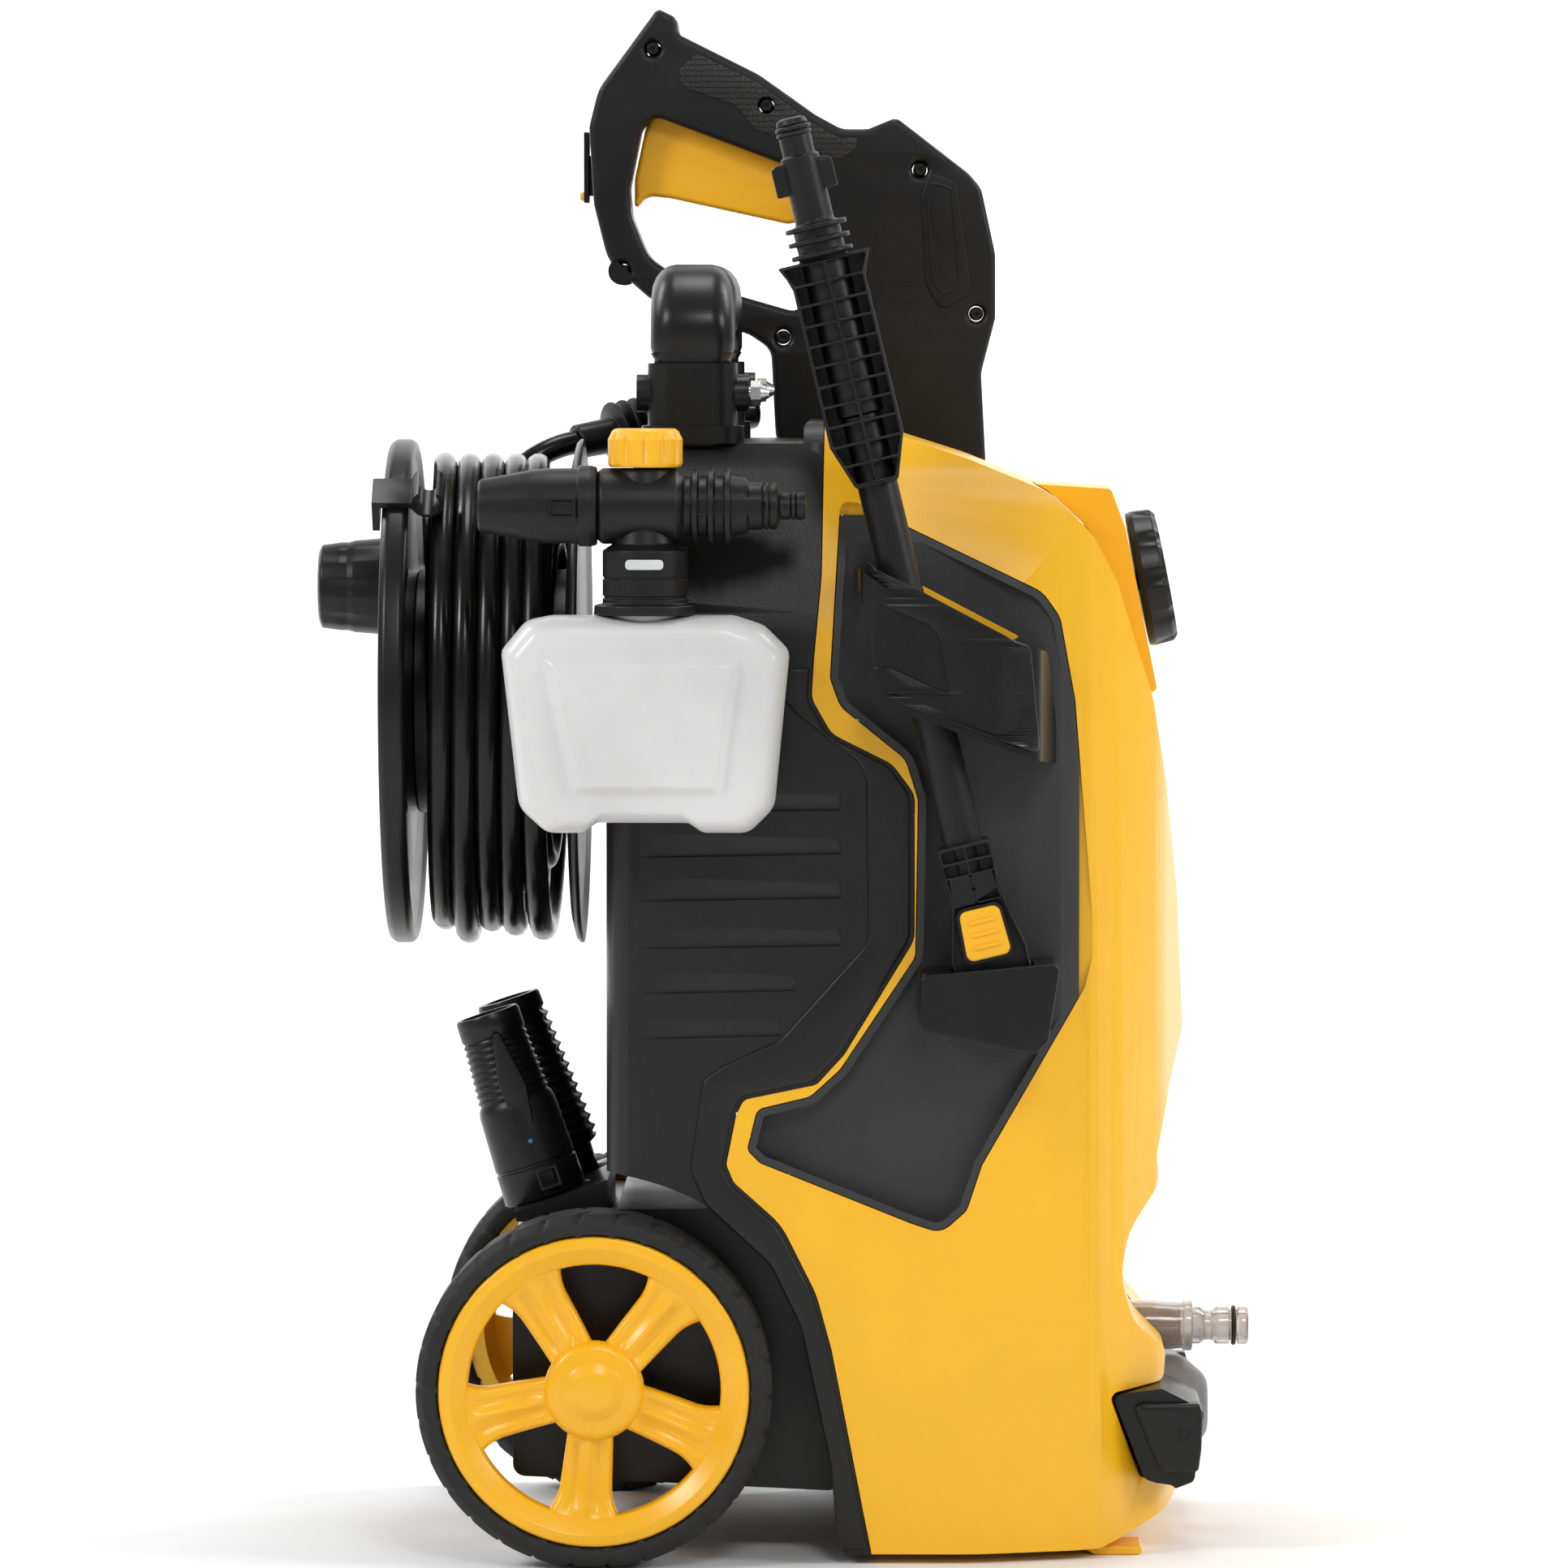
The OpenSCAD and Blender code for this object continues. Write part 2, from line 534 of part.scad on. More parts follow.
module axle() {
    color([0.6, 0.6, 0.62]) {
        translate([axle_x, -wheel_y - tyre_w / 2 + 1, wheel_r]) along_y() cylinder(r = axle_r, h = 2 * wheel_y + tyre_w - 2);
        for (side = [-1, 1]) translate([axle_x, side * (base_half_w + 3.5) - 3, wheel_r]) along_y() tube(axle_r + 5, axle_r + 0.02, 6);
    }
}

// ---- Hose reel ----
module on_reel(x) { translate([x, reel_y, reel_z]) along_x() children(); }
module reel_bracket() {
    color([0.04, 0.04, 0.04]) difference() {
        union() {
            on_reel(housing_x - 8) cylinder(r = 34, h = 8);
            on_reel(outer_flange_x - 5) cylinder(r = spindle_r, h = housing_x + wall + 2 - outer_flange_x + 5);
        }
        on_reel(outer_flange_x + 10) cylinder(r = 3, h = 200);
    }
}
module reel_drum() {
    color([0.04, 0.04, 0.04]) difference() {
        on_reel(outer_flange_x) cylinder(r = drum_r, h = reel_gap);
        on_reel(outer_flange_x + wall) difference() {
            cylinder(r = drum_r - wall, h = reel_gap - 2 * wall);
            cylinder(r = spindle_r + 5, h = reel_gap);
        }
        on_reel(outer_flange_x - 1) cylinder(r = spindle_r + fit_gap, h = reel_gap + 2);
    }
}
module inner_flange() {
    color([0.05, 0.05, 0.05]) difference() {
        on_reel(drum_x) rotate_extrude($fn = 96) polygon([[spindle_r + 6, 0], [drum_r + 20, 0], [flange_r - 2, 2.5], [flange_r, 5],
            [flange_r, inner_flange_t], [flange_r - 4, inner_flange_t - 1], [drum_r + 20, 3], [spindle_r + 6, 3]]);
    }
}
module outer_flange() {
    color([0.05, 0.05, 0.05]) difference() {
        union() {
            on_reel(outer_flange_x - outer_flange_t) rotate_extrude($fn = 96) polygon([[0, 3], [flange_r - 4, 3], [flange_r - 4, 0], [flange_r - 1.5, 0],
                [flange_r, 3], [flange_r, outer_flange_t - 3], [flange_r - 1.5, outer_flange_t - 1], [flange_r - 4, outer_flange_t - 1],
                [flange_r - 4, 6.5], [drum_r, 6.5], [drum_r, outer_flange_t], [0, outer_flange_t]]);
            translate([outer_flange_x - outer_flange_t - crank_boss_t + 3, reel_y, reel_z]) side_slab_crank();
            on_reel(outer_flange_x - outer_flange_t - crank_boss_t - 10) translate([-crank_r, 0, 0]) cylinder(r = crank_pin_r, h = 14);
        }
        on_reel(outer_flange_x - 5 - 1) cylinder(r = spindle_r + 0.5, h = 10);
    }
}
crank_pin_r = 5;
module side_slab_crank() { // the crank arm moulded on the outer flange, from the axis up to the knob
    rotate([0, 90, 0]) linear_extrude(crank_boss_t + 0.5) union() {
        circle(24);
        translate([-crank_r, 0]) circle(24);
        translate([-crank_r, -24]) square([crank_r, 48]);
    }
}
module crank_knob() {
    color([0.03, 0.03, 0.03]) translate([outer_flange_x - outer_flange_t - crank_boss_t - crank_knob_l + 3 - seam_gap, reel_y, reel_z + crank_r])
        along_x() difference() {
            cylinder(r1 = 17.5, r2 = 20, h = crank_knob_l);
            translate([0, 0, crank_knob_l - 14]) cylinder(r = crank_pin_r + fit_gap, h = 20);
        }
}
clip_angle = 38; // from the top of the rim towards -Y
clip_r = hose_d / 2 + 1.7;
module hose_clip() { // hooks over the rim of the outer flange and holds the end of the hose
    color([0.03, 0.03, 0.03]) difference() {
        translate([0, reel_y, reel_z]) rotate([clip_angle, 0, 0]) side_slab(-8, 8) difference() {
            translate([outer_flange_x, flange_r]) union() {
                translate([-outer_flange_t - 3.5, -1]) square([outer_flange_t + 5.5, 3.5]);
                translate([-outer_flange_t - 3.5, -12]) square([3, 14.5]);
                translate([clip_r + 0.5, 1.6]) circle(clip_r);
            }
            translate([outer_flange_x + clip_r + 0.5, flange_r + 1.6]) circle(hose_d / 2 + 0.1);
            translate([outer_flange_x + clip_r - 3, flange_r + 4]) square([7, 20]);
        }
        on_reel(outer_flange_x - outer_flange_t) cylinder(r = flange_r, h = outer_flange_t, $fn = 96);
    }
}
module hose_coil() { // outer shape of the wound hose
    color([0.02, 0.02, 0.02]) on_reel(outer_flange_x + 1) tube(coil_r, drum_r + 0.02, reel_gap - 2);
}

// The free stretch of hose from the gun's coupling over the flange and down onto the winding
lead_route = [[-89, 96, 445], [-94.5, 93.3, 443.6], [-99.9, 91, 441.5], [-105.2, 89.1, 438.7], [-110.2, 87.9, 435.1],
    [-114.8, 87.1, 430.9], [-118.9, 87.1, 426.1], [-122.3, 87.6, 420.9], [-125.2, 88.7, 415.4], [-127.3, 90.3, 409.7],
    [-128.8, 92.3, 404], [-129.7, 94.8, 398.3], [-130, 97.6, 392.7]];
function bez(p, t) = let (n = len(p) - 1, s = min(t * n, n - 0.0001), i = floor(s), f = s - i,
    a = p[max(i - 1, 0)], b = p[i], c = p[i + 1], d = p[min(i + 2, n)])
    0.5 * (2 * b + (c - a) * f + (2 * a - 5 * b + 4 * c - d) * f * f + (3 * b - a - 3 * c + d) * f * f * f);
lead_rings = 24;
module swept_hose(route, d, rings) {
    sides = 10;
    pts = [for (i = [0:rings]) bez(route, i / rings)];
    tang = [for (i = [0:rings]) unit(pts[min(i + 1, rings)] - pts[max(i - 1, 0)])];
    ring = [for (i = [0:rings]) let (u = unit(cross(tang[i], [0.3, 1, 0.2])), v = cross(tang[i], u))
        [for (k = [0:sides - 1]) pts[i] + d / 2 * (u * cos(360 * k / sides) + v * sin(360 * k / sides))]];
    polyhedron(points = [for (r = ring) each r], faces = concat(
        [[for (k = [0:sides - 1]) k]],
        [for (i = [0:rings - 1], k = [0:sides - 1]) [i * sides + k, (i + 1) * sides + k, (i + 1) * sides + (k + 1) % sides, i * sides + (k + 1) % sides]],
        [[for (k = [sides - 1:-1:0]) rings * sides + k]]));
}
module hose_lead() { color([0.02, 0.02, 0.02]) swept_hose(lead_route, hose_d, lead_rings); }
// The coupling runs from the gun's inlet down to the start of the free stretch
gun_inlet = [sx(60) - 65, gun_y, gun_seat + 89];
coupling_run = [84, 44, 16];
coupling_end = gun_inlet - coupling_run; // where the lead starts
module hose_coupling() {
    len_c = norm(coupling_run);
    color([0.03, 0.03, 0.03]) translate(coupling_end) rotate([0, acos(coupling_run[2] / len_c), atan2(coupling_run[1], coupling_run[0])]) difference() {
        union() {
            translate([0, 0, 1.5]) cylinder(r = 7.5, h = 41);
            for (i = [0:3]) translate([0, 0, 20 + i * 7]) cylinder(r = 12, h = 1.6);
            translate([0, 0, 42]) cylinder(r = 9, h = len_c - 42 - 12);
        }
        translate([0, 0, -1]) cylinder(r = 3, h = len_c - 20);
    }
}

// ---- Trigger gun, stored with its barrel down on the +Y side ----
function at_gun(pts) = [for (p = pts) [sx(60) + (p[0] - 60), gun_seat + (p[1] - 372), p[2]]];
gun_outline = rounded(at_gun([[-55, 628, 2], [-47, 624, 3], [-46, 617, 3], [-38, 613, 4], [-12, 600, 30], [12, 583, 20], [23, 577, 10], [34, 577, 4],
    [46, 582, 4], [77, 558, 5], [82, 552, 8], [88, 524, 20], [88, 497, 6], [82, 474, 10], [84, 436, 20], [79, 400, 20], [77, 374, 3], [43, 374, 3],
    [34, 404, 20], [10, 430, 14], [-5, 446, 6], [-7, 484, 8], [-16, 490, 5], [-58, 505, 16], [-76, 521, 18], [-82, 545, 10], [-84, 578, 10], [-80, 594, 20]]));
hand_gap = rounded(at_gun([[-62, 577, 4], [-67, 552, 14], [-66, 540, 14], [-59, 523, 14], [-46, 514, 8], [6, 499, 6], [10, 512, 6], [15, 541, 4], [13, 556, 3], [-4, 563, 20], [-56, 582.5, 5]]));
trigger_outline = rounded(at_gun([[-60.5, 577, 4], [-56, 585, 4], [-4, 566, 10], [30, 557, 6], [31, 545, 6], [18, 541, 6], [0, 537, 6], [-50, 548, 14], [-60, 549, 6], [-65, 542, 1], [-65, 556, 6]]));
trigger_pivot = [at_gun([[24, 550, 0]])[0][0], at_gun([[24, 550, 0]])[0][1]];
trigger_pull = 11;
trigger_t = 18;
grip_pad_outline = rounded(at_gun([[-38.6, 609, 3], [-46, 602, 3], [-45, 595, 4], [-22, 587, 8], [-14, 577, 8], [22, 564, 6], [27, 567, 4], [32, 573.5, 3],
    [22, 573, 10], [10, 580, 20], [-13, 597, 30]]));
pad_t = 1.5;
gun_wall = 2.5;
screw_spots = at_gun([[-57, 611, 0], [-9, 587, 0], [56, 560, 0], [80, 499, 0], [-70, 517, 0], [-2, 489, 0]]);
barrel_r = 15.5;
module trigger_sweep() {
    for (a = [0, trigger_pull / 2, trigger_pull]) translate(trigger_pivot) rotate(-a) translate(-trigger_pivot) offset(delta = 0.8) polygon(trigger_outline);
}
module gun_shell(side) { // side -1: the half facing the washer, +1: the outer half
    y0 = gun_y + (side < 0 ? -gun_t / 2 : 0);
    color([0.05, 0.05, 0.055]) difference() {
        side_slab(y0, y0 + gun_t / 2 - (side < 0 ? 0.05 : 0)) difference() {
            polygon(gun_outline);
            polygon(hand_gap);
        }
        side_slab(gun_y - gun_t / 2 + gun_wall, gun_y + gun_t / 2 - gun_wall) offset(delta = -gun_wall) difference() {
            polygon(gun_outline);
            offset(delta = 1) polygon(hand_gap);
        }
        side_slab(gun_y - trigger_t / 2 - 0.8, gun_y + trigger_t / 2 + 0.8) trigger_sweep();
        for (s = screw_spots) translate([s[0], gun_y - 30, s[1]]) along_y() translate([0, 0, side < 0 ? 0 : 30 + gun_t / 2 - 1.2]) cylinder(r = 3, h = side < 0 ? 11.2 : 5);
        translate([gun_x, gun_y, gun_seat - 5]) cylinder(r = barrel_r - 3, h = 60);
        side_slab(side > 0 ? gun_y + gun_t / 2 - pad_t : gun_y - gun_t / 2 - 1, side > 0 ? gun_y + gun_t / 2 + 1 : gun_y - gun_t / 2 + pad_t)
            offset(delta = 0.2) polygon(grip_pad_outline);
        latch_slot();
    }
}
module gun_shell_left() { gun_shell(-1); }
module gun_shell_right() { gun_shell(1); }
module gun_grip_pad() {
    color([0.03, 0.03, 0.03]) for (side = [-1, 1]) side_slab(gun_y + side * (gun_t / 2 - pad_t / 2) - pad_t / 2, gun_y + side * (gun_t / 2 - pad_t / 2) + pad_t / 2)
        difference() {
            polygon(grip_pad_outline);
            translate([screw_spots[1][0], screw_spots[1][1]]) circle(3.6);
        }
}
module gun_trigger() {
    color([0.98, 0.70, 0.07]) side_slab(gun_y - trigger_t / 2, gun_y + trigger_t / 2) difference() {
        polygon(trigger_outline);
        translate(trigger_pivot) circle(2.05);
    }
}
latch_spot = at_gun([[-84, 546, 0]])[0];
latch_travel = 7;
module latch_slot() {
    translate([latch_spot[0] - 5, gun_y - 4.5, latch_spot[1] + 2 - latch_travel]) cube([14, 9, 20 + latch_travel]);
}
module gun_latch() {
    color([0.04, 0.04, 0.04]) union() {
        translate([latch_spot[0] - 2.6, gun_y - 7, latch_spot[1]]) cube([2.2, 14, 30]);
        translate([latch_spot[0] - 1, gun_y - 4, latch_spot[1] + 3]) cube([8, 8, 17]);
    }
}
module gun_barrel() {
    color([0.04, 0.04, 0.04]) difference() {
        union() {
            translate([gun_x, gun_y, gun_seat - 34]) cylinder(r = barrel_r, h = 34 + 1.6);
            translate([gun_x, gun_y, gun_seat - 34]) cylinder(r = barrel_r - 3.2, h = 34 + 48);
        }
        translate([gun_x, gun_y, gun_seat - 35]) cylinder(r = 9, h = 30);
    }
}

// ---- Lance ----
grip_bottom = 196;
neck_len = 57;
grip_len = lance_len - grip_bottom - neck_len;
module lance_grip() {
    color([0.04, 0.04, 0.04]) on_lance() {
        rib_n = 11;
        difference() {
            union() {
                translate([0, 0, grip_bottom]) cylinder(r = lance_r + 1.5, h = grip_len);
                for (i = [0:rib_n]) translate([0, 0, grip_bottom + 4 + i * (grip_len - 6) / rib_n - 1]) grip_plate(i / rib_n, 1.6);
                translate([0, 0, grip_bottom]) rotate([90, 0, 0]) translate([0, 0, -1]) linear_extrude(2) grip_side();
                translate([0, 0, grip_bottom]) rotate([90, 0, 0]) translate([0, 0, -11]) linear_extrude(22) difference() {
                    grip_side();
                    offset(delta = -2) grip_side();
                }
            }
            translate([0, 0, grip_bottom - 2]) cylinder(r = lance_r + 0.02, h = 30);
        }
        translate([0, 0, grip_bottom + grip_len]) for (i = [0:2]) translate([0, 0, 1 + i * 5.4]) cylinder(r = 12.2, h = 2);
        translate([0, 0, grip_bottom + grip_len]) cylinder(r = 9.5, h = 14);
        translate([0, 0, grip_bottom + grip_len + 13]) cylinder(r = 7.7, h = neck_len - 28);
        translate([-12, -5, lance_len - 30]) cube([24, 10, 12.5]);
        translate([0, 0, lance_len - 16]) cylinder(r = 6.3, h = 16);
        translate([0, 0, lance_len - 7]) cylinder(r = 6.9, h = 2.2);
    }
}
grip_half = [8.3, 14.9, 14.5, 18.6];
module grip_side() { polygon([[-grip_half[0], 0], [grip_half[0], 0], [grip_half[1], 22], [grip_half[2], grip_len - 10], [grip_half[3], grip_len],
    [-grip_half[3], grip_len], [-grip_half[2], grip_len - 10], [-grip_half[1], 22]]); }
module grip_plate(f, t) {
    w = lookup(f, [[0, grip_half[0] + 1.2], [0.2, grip_half[1]], [0.88, grip_half[2]], [1, grip_half[3]]]);
    translate([-w, -11, 0]) cube([2 * w, 22, t]);
}
tube_bottom = 30;
module lance_tube() { color([0.05, 0.05, 0.05]) on_lance() translate([0, 0, tube_bottom]) cylinder(r = lance_r, h = grip_bottom - tube_bottom + 27.9); }
head_half = head_w / 2;
button_travel = 2;
button_mid = 14;
button_outline = [[-9, 4, 3], [9, 4, 3], [8, 24, 3], [-8, 24, 3]];
module lance_head() {
    color([0.04, 0.04, 0.04]) on_lance() difference() {
        union() {
            rotate([90, 0, 0]) translate([0, 0, -head_t / 2]) linear_extrude(head_t) polygon(rounded([[-head_half, -22, 4], [head_half, -22, 4],
                [head_half, 6, 3], [head_half - 6, 30, 3], [lance_r + 3, 50, 2], [-lance_r - 3, 50, 2], [-head_half + 3, 6, 3]]));
        }
        translate([0, 0, tube_bottom - 0.1]) cylinder(r = lance_r + 0.02, h = 30);
        translate([0, 0, -23]) cylinder(r = 6, h = 20);
        rotate([90, 0, 0]) translate([0, 0, 6.5]) linear_extrude(10) polygon([for (p = button_outline) [p[0] * 1.05, button_mid + (p[1] - button_mid) * 1.05]]);
    }
}
module lance_button() {
    color([0.98, 0.70, 0.07]) on_lance() rotate([90, 0, 0]) translate([0, 0, 6.5 + button_travel + skin]) linear_extrude(3.4)
        polygon(rounded(button_outline));
}

// ---- Foam bottle ----
foam_y = -half_w - 1 - bottle_t / 2;
foam_x = sx(-53);
foam_z = sz(423);
bottle_top = foam_z - 43;
bottle_w = 114;
bottle_h = 86;
bottle_outline = rounded([for (p = [[-bottle_w / 2, -14, 4], [-bottle_w / 2 + 10, -2, 8], [-bottle_w / 2 + 20, 0, 8], [bottle_w / 2 - 22, 0, 8], [bottle_w / 2 - 10, -4, 8],
    [bottle_w / 2, -14, 6], [bottle_w / 2 - 6, -76, 10], [bottle_w / 2 - 16, -bottle_h, 8], [bottle_w / 2 - 34, -bottle_h, 2], [bottle_w / 2 - 40, -82, 2],
    [-bottle_w / 2 + 38, -82, 2], [-bottle_w / 2 + 32, -bottle_h, 2], [-bottle_w / 2 + 18, -bottle_h, 8], [-bottle_w / 2 + 7, -76, 10]]) [p[0] + foam_x, p[1] + bottle_top, p[2]]]);
module foam_bottle() {
    color([0.88, 0.88, 0.88]) difference() {
        union() {
            side_slab(foam_y - bottle_t / 2, foam_y + bottle_t / 2) polygon(bottle_outline);
            translate([foam_x, foam_y, bottle_top - 1]) cylinder(r = 14, h = 11);
        }
        side_slab(foam_y - bottle_t / 2 + 2, foam_y + bottle_t / 2 - 2) offset(delta = -2) polygon(bottle_outline);
        translate([foam_x, foam_y, bottle_top - 6]) cylinder(r = 12, h = 30);
    }
}
module on_foam(z) { translate([foam_x, foam_y, z]) children(); }
peg_r = 6;
peg_l = 10;
module foam_head() {
    color([0.05, 0.05, 0.05]) difference() {
        union() {
            on_foam(bottle_top + 0.05) cylinder(r = 20, h = 4);
            on_foam(bottle_top + 3) cylinder(r = 16.7, h = foam_z - 10 - bottle_top - 3);
            on_foam(foam_z - 18) cylinder(r = 11, h = 32);
            translate([foam_x - 18, foam_y, foam_z]) along_x() cylinder(r = 15, h = 36);
            translate([foam_x - 24, foam_y, foam_z]) along_x() cylinder(r = 7, h = 50);
            for (r = [[20, 14], [26, 14], [32, 15]]) translate([foam_x + r[0], foam_y, foam_z]) along_x() cylinder(r = r[1], h = 2.5);
            translate([foam_x + 16, foam_y, foam_z]) along_x() cylinder(r = 11, h = 26);
            translate([foam_x + 40, foam_y, foam_z]) along_x() cylinder(r = 9, h = 14);
            translate([foam_x + 52, foam_y, foam_z]) along_x() cylinder(r = 5, h = 13);
        }
        on_foam(bottle_top - 1) cylinder(r = 14.1, h = 12.2);
        translate([foam_x, foam_y + 6, foam_z - 26]) along_y() cylinder(r = peg_r + 0.1, h = 40);
    }
}
module foam_knob() {
    color([0.98, 0.72, 0.10]) on_foam(foam_z + 15 + skin) difference() {
        union() {
            cylinder(r = 14.6, h = 12);
            translate([0, 0, 12]) cylinder(r1 = 14.6, r2 = 12, h = 3);
        }
        for (a = [0:30:330]) rotate(a) translate([15.6, 0, 1]) cylinder(r = 1.8, h = 11);
    }
}
module foam_nozzle() {
    color([0.05, 0.05, 0.05]) translate([foam_x - 19, foam_y, foam_z]) rotate([0, -90, 0]) difference() {
        cylinder(r1 = 16, r2 = 10, h = 47);
        translate([0, 0, -1]) cylinder(r = 7 + fit_gap, h = 8);
        translate([0, 0, 30]) cylinder(r = 7, h = 30);
    }
}
module foam_bracket() { // pad on the rear housing whose peg holds the foam head
    peg_z = foam_z - 26;
    color([0.04, 0.04, 0.04]) difference() {
        union() {
            translate([foam_x, foam_y + 6.3, peg_z]) along_y() cylinder(r = peg_r, h = -foam_y - 6.3 - half_w + 14);
            translate([foam_x - 4, foam_y + 18, peg_z - 9]) cube([20, -foam_y - 18 - half_w + 14, 18]);
        }
        envelope(-0.1);
    }
}

// ---- Spare nozzles on their rear holder ----
nozzle_lean = 18;
nozzle_z = 141;
nozzle_spots = [[-96, -48], [-89, 6]];
module on_nozzle(i) { translate([sx(nozzle_spots[i][0]), nozzle_spots[i][1], nozzle_z]) rotate([0, -nozzle_lean, 0]) children(); }
module nozzle_holder() {
    color([0.04, 0.04, 0.04]) union() {
        difference() {
            side_slab(-74, 34) polygon([[sx(-107), 133], [housing_x - seam_gap, 133], [housing_x - seam_gap, 150], [sx(-108), 137]]);
            for (i = [0, 1]) on_nozzle(i) cylinder(r = 19, h = 30);
        }
        for (i = [0, 1]) on_nozzle(i) translate([0, 0, -3]) cylinder(r = 5, h = 19);
    }
}
module vario_nozzle() {
    color([0.03, 0.03, 0.03]) on_nozzle(0) translate([0, 0, skin]) difference() {
        union() {
            cylinder(r1 = 17, r2 = 15.5, h = 42);
            translate([0, 0, 42]) cylinder(r1 = 15.5, r2 = 12.6, h = 36);
        }
        translate([0, 0, -1]) cylinder(r = 5.3, h = 20);
        translate([0, 0, 72]) cylinder(r = 10.5, h = 20);
    }
}
module turbo_nozzle() {
    color([0.03, 0.03, 0.03]) on_nozzle(1) translate([0, 0, skin]) difference() {
        union() {
            cylinder(r = 14, h = 14);
            translate([0, 0, 14]) cylinder(r1 = 18, r2 = 13, h = 66);
        }
        translate([0, 0, -1]) cylinder(r = 5.3, h = 20);
        translate([0, 0, 76]) cylinder(r = 9, h = 20);
    }
}

rear_housing();
front_cover();
switch_boss();
base_tray();
front_feet();
lance_pocket();
gun_pocket();
lance_strap();
lance_cup();
gun_holder();
front_bumper();
outlet_cap();
inlet_bowl();
inlet_spigot();
inlet_screen();
inlet_o_ring();
axle();
motor_can();
motor_rotor();
pump();
inlet_pipe();
outlet_pipe();
switch_box();
switch_knob();
capacitor();
cord_gland();
handle_bow();
handle_collars();
clamp_bolts();
wheel_left();
tyre_left();
wheel_right();
tyre_right();
reel_bracket();
reel_drum();
inner_flange();
outer_flange();
crank_knob();
hose_clip();
hose_coil();
hose_lead();
hose_coupling();
gun_shell_left();
gun_shell_right();
gun_grip_pad();
gun_trigger();
gun_latch();
gun_barrel();
lance_grip();
lance_tube();
lance_head();
lance_button();
foam_bottle();
foam_head();
foam_knob();
foam_nozzle();
foam_bracket();
nozzle_holder();
vario_nozzle();
turbo_nozzle();
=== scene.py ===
# %% [markdown]
# # An upright pressure washer, piece by piece
# The machine stands on two wheels. It carries a hose reel, a trigger gun, a lance, a foam
# bottle and two spare nozzles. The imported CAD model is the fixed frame: it says where every
# piece is and what moves. This file gives each piece its final surface and its finish.

# %% Load the frame
import bpy, bmesh, json, math
import numpy as np
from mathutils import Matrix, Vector
from mathutils.geometry import tessellate_polygon


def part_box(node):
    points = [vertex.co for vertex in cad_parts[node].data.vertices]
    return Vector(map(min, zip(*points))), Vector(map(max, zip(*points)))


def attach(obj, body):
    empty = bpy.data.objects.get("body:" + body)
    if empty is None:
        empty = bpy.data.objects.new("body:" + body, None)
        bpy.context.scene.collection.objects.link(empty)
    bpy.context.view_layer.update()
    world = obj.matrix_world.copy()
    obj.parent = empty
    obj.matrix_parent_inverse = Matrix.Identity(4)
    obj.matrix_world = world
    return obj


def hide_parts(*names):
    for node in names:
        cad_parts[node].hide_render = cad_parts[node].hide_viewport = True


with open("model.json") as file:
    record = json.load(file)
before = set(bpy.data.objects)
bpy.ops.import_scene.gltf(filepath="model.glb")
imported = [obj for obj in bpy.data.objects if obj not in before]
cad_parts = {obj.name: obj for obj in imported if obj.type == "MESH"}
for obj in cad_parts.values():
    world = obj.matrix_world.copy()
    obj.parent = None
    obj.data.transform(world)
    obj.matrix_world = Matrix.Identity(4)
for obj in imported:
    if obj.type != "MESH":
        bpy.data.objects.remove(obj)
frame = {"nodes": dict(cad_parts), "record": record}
record = frame["record"]
body_of = {n: b for b, nodes in record["behaviour"]["bodies"].items() for n in nodes}
slot_of = {p["node"]: p["material_slot"] for p in record["subparts"]}
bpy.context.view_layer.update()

# %% [markdown]
# ## The camera
# A product picture is taken from far away with a long lens, so that the sides stay parallel.
# The camera stands 3.6 m off, a little above the machine and almost square to its side.

# %% Place the camera
def place_camera(azimuth, elevation, distance, aim, lens):
    """A camera on a sphere round aim: azimuth 0 looks along +Y, elevation lifts it."""
    a, e = math.radians(azimuth), math.radians(elevation)
    back = Vector((math.sin(a) * math.cos(e), -math.cos(a) * math.cos(e), math.sin(e)))
    data = bpy.data.cameras.new("studio_camera")
    data.lens, data.sensor_width, data.clip_end = lens, 36, 20
    cam = bpy.data.objects.new("studio_camera", data)
    bpy.context.scene.collection.objects.link(cam)
    cam.location = Vector(aim) + distance * back
    cam.rotation_euler = back.to_track_quat("Z", "Y").to_euler()
    bpy.context.scene.camera = cam
    return cam

camera = place_camera(0.7, 3.0, 3.6, (0, 0, 0.306), 201.25)
print("camera at", [round(c, 3) for c in camera.location])

# %% [markdown]
# ## Measures
# The main sizes are read once from the CAD nodes, in millimetres, so that each new piece
# sits exactly where the frame has it.

# %% Read the main sizes
MM = 0.001

def span(node):
    """Lowest and highest corner of a CAD node in millimetres."""
    low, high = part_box(node)
    return np.array(low) / MM, np.array(high) / MM

def middle(node):
    """Centre of a CAD node's box in millimetres."""
    low, high = span(node)
    return (low + high) / 2

reel_low, reel_high = span("inner_flange")
reel_y, reel_z = middle("inner_flange")[1:]
flange_r = (reel_high[1] - reel_low[1]) / 2
drum_low, drum_high = span("reel_drum")
drum_r = (drum_high[1] - drum_low[1]) / 2
coil_low, coil_high = span("hose_coil")
coil_r = (coil_high[1] - coil_low[1]) / 2
HOSE = 10.0
wall = span("rear_housing")[1][1]
print("reel axis", reel_y, reel_z, "flange", flange_r, "coil", coil_r, "wall", wall)

# %% [markdown]
# ## Shader maths as plain expressions
# A procedural material is a small formula over the surface. A wrapper class lets that formula be
# written as Python: adding or multiplying two wrapped sockets adds the Math node that does it.

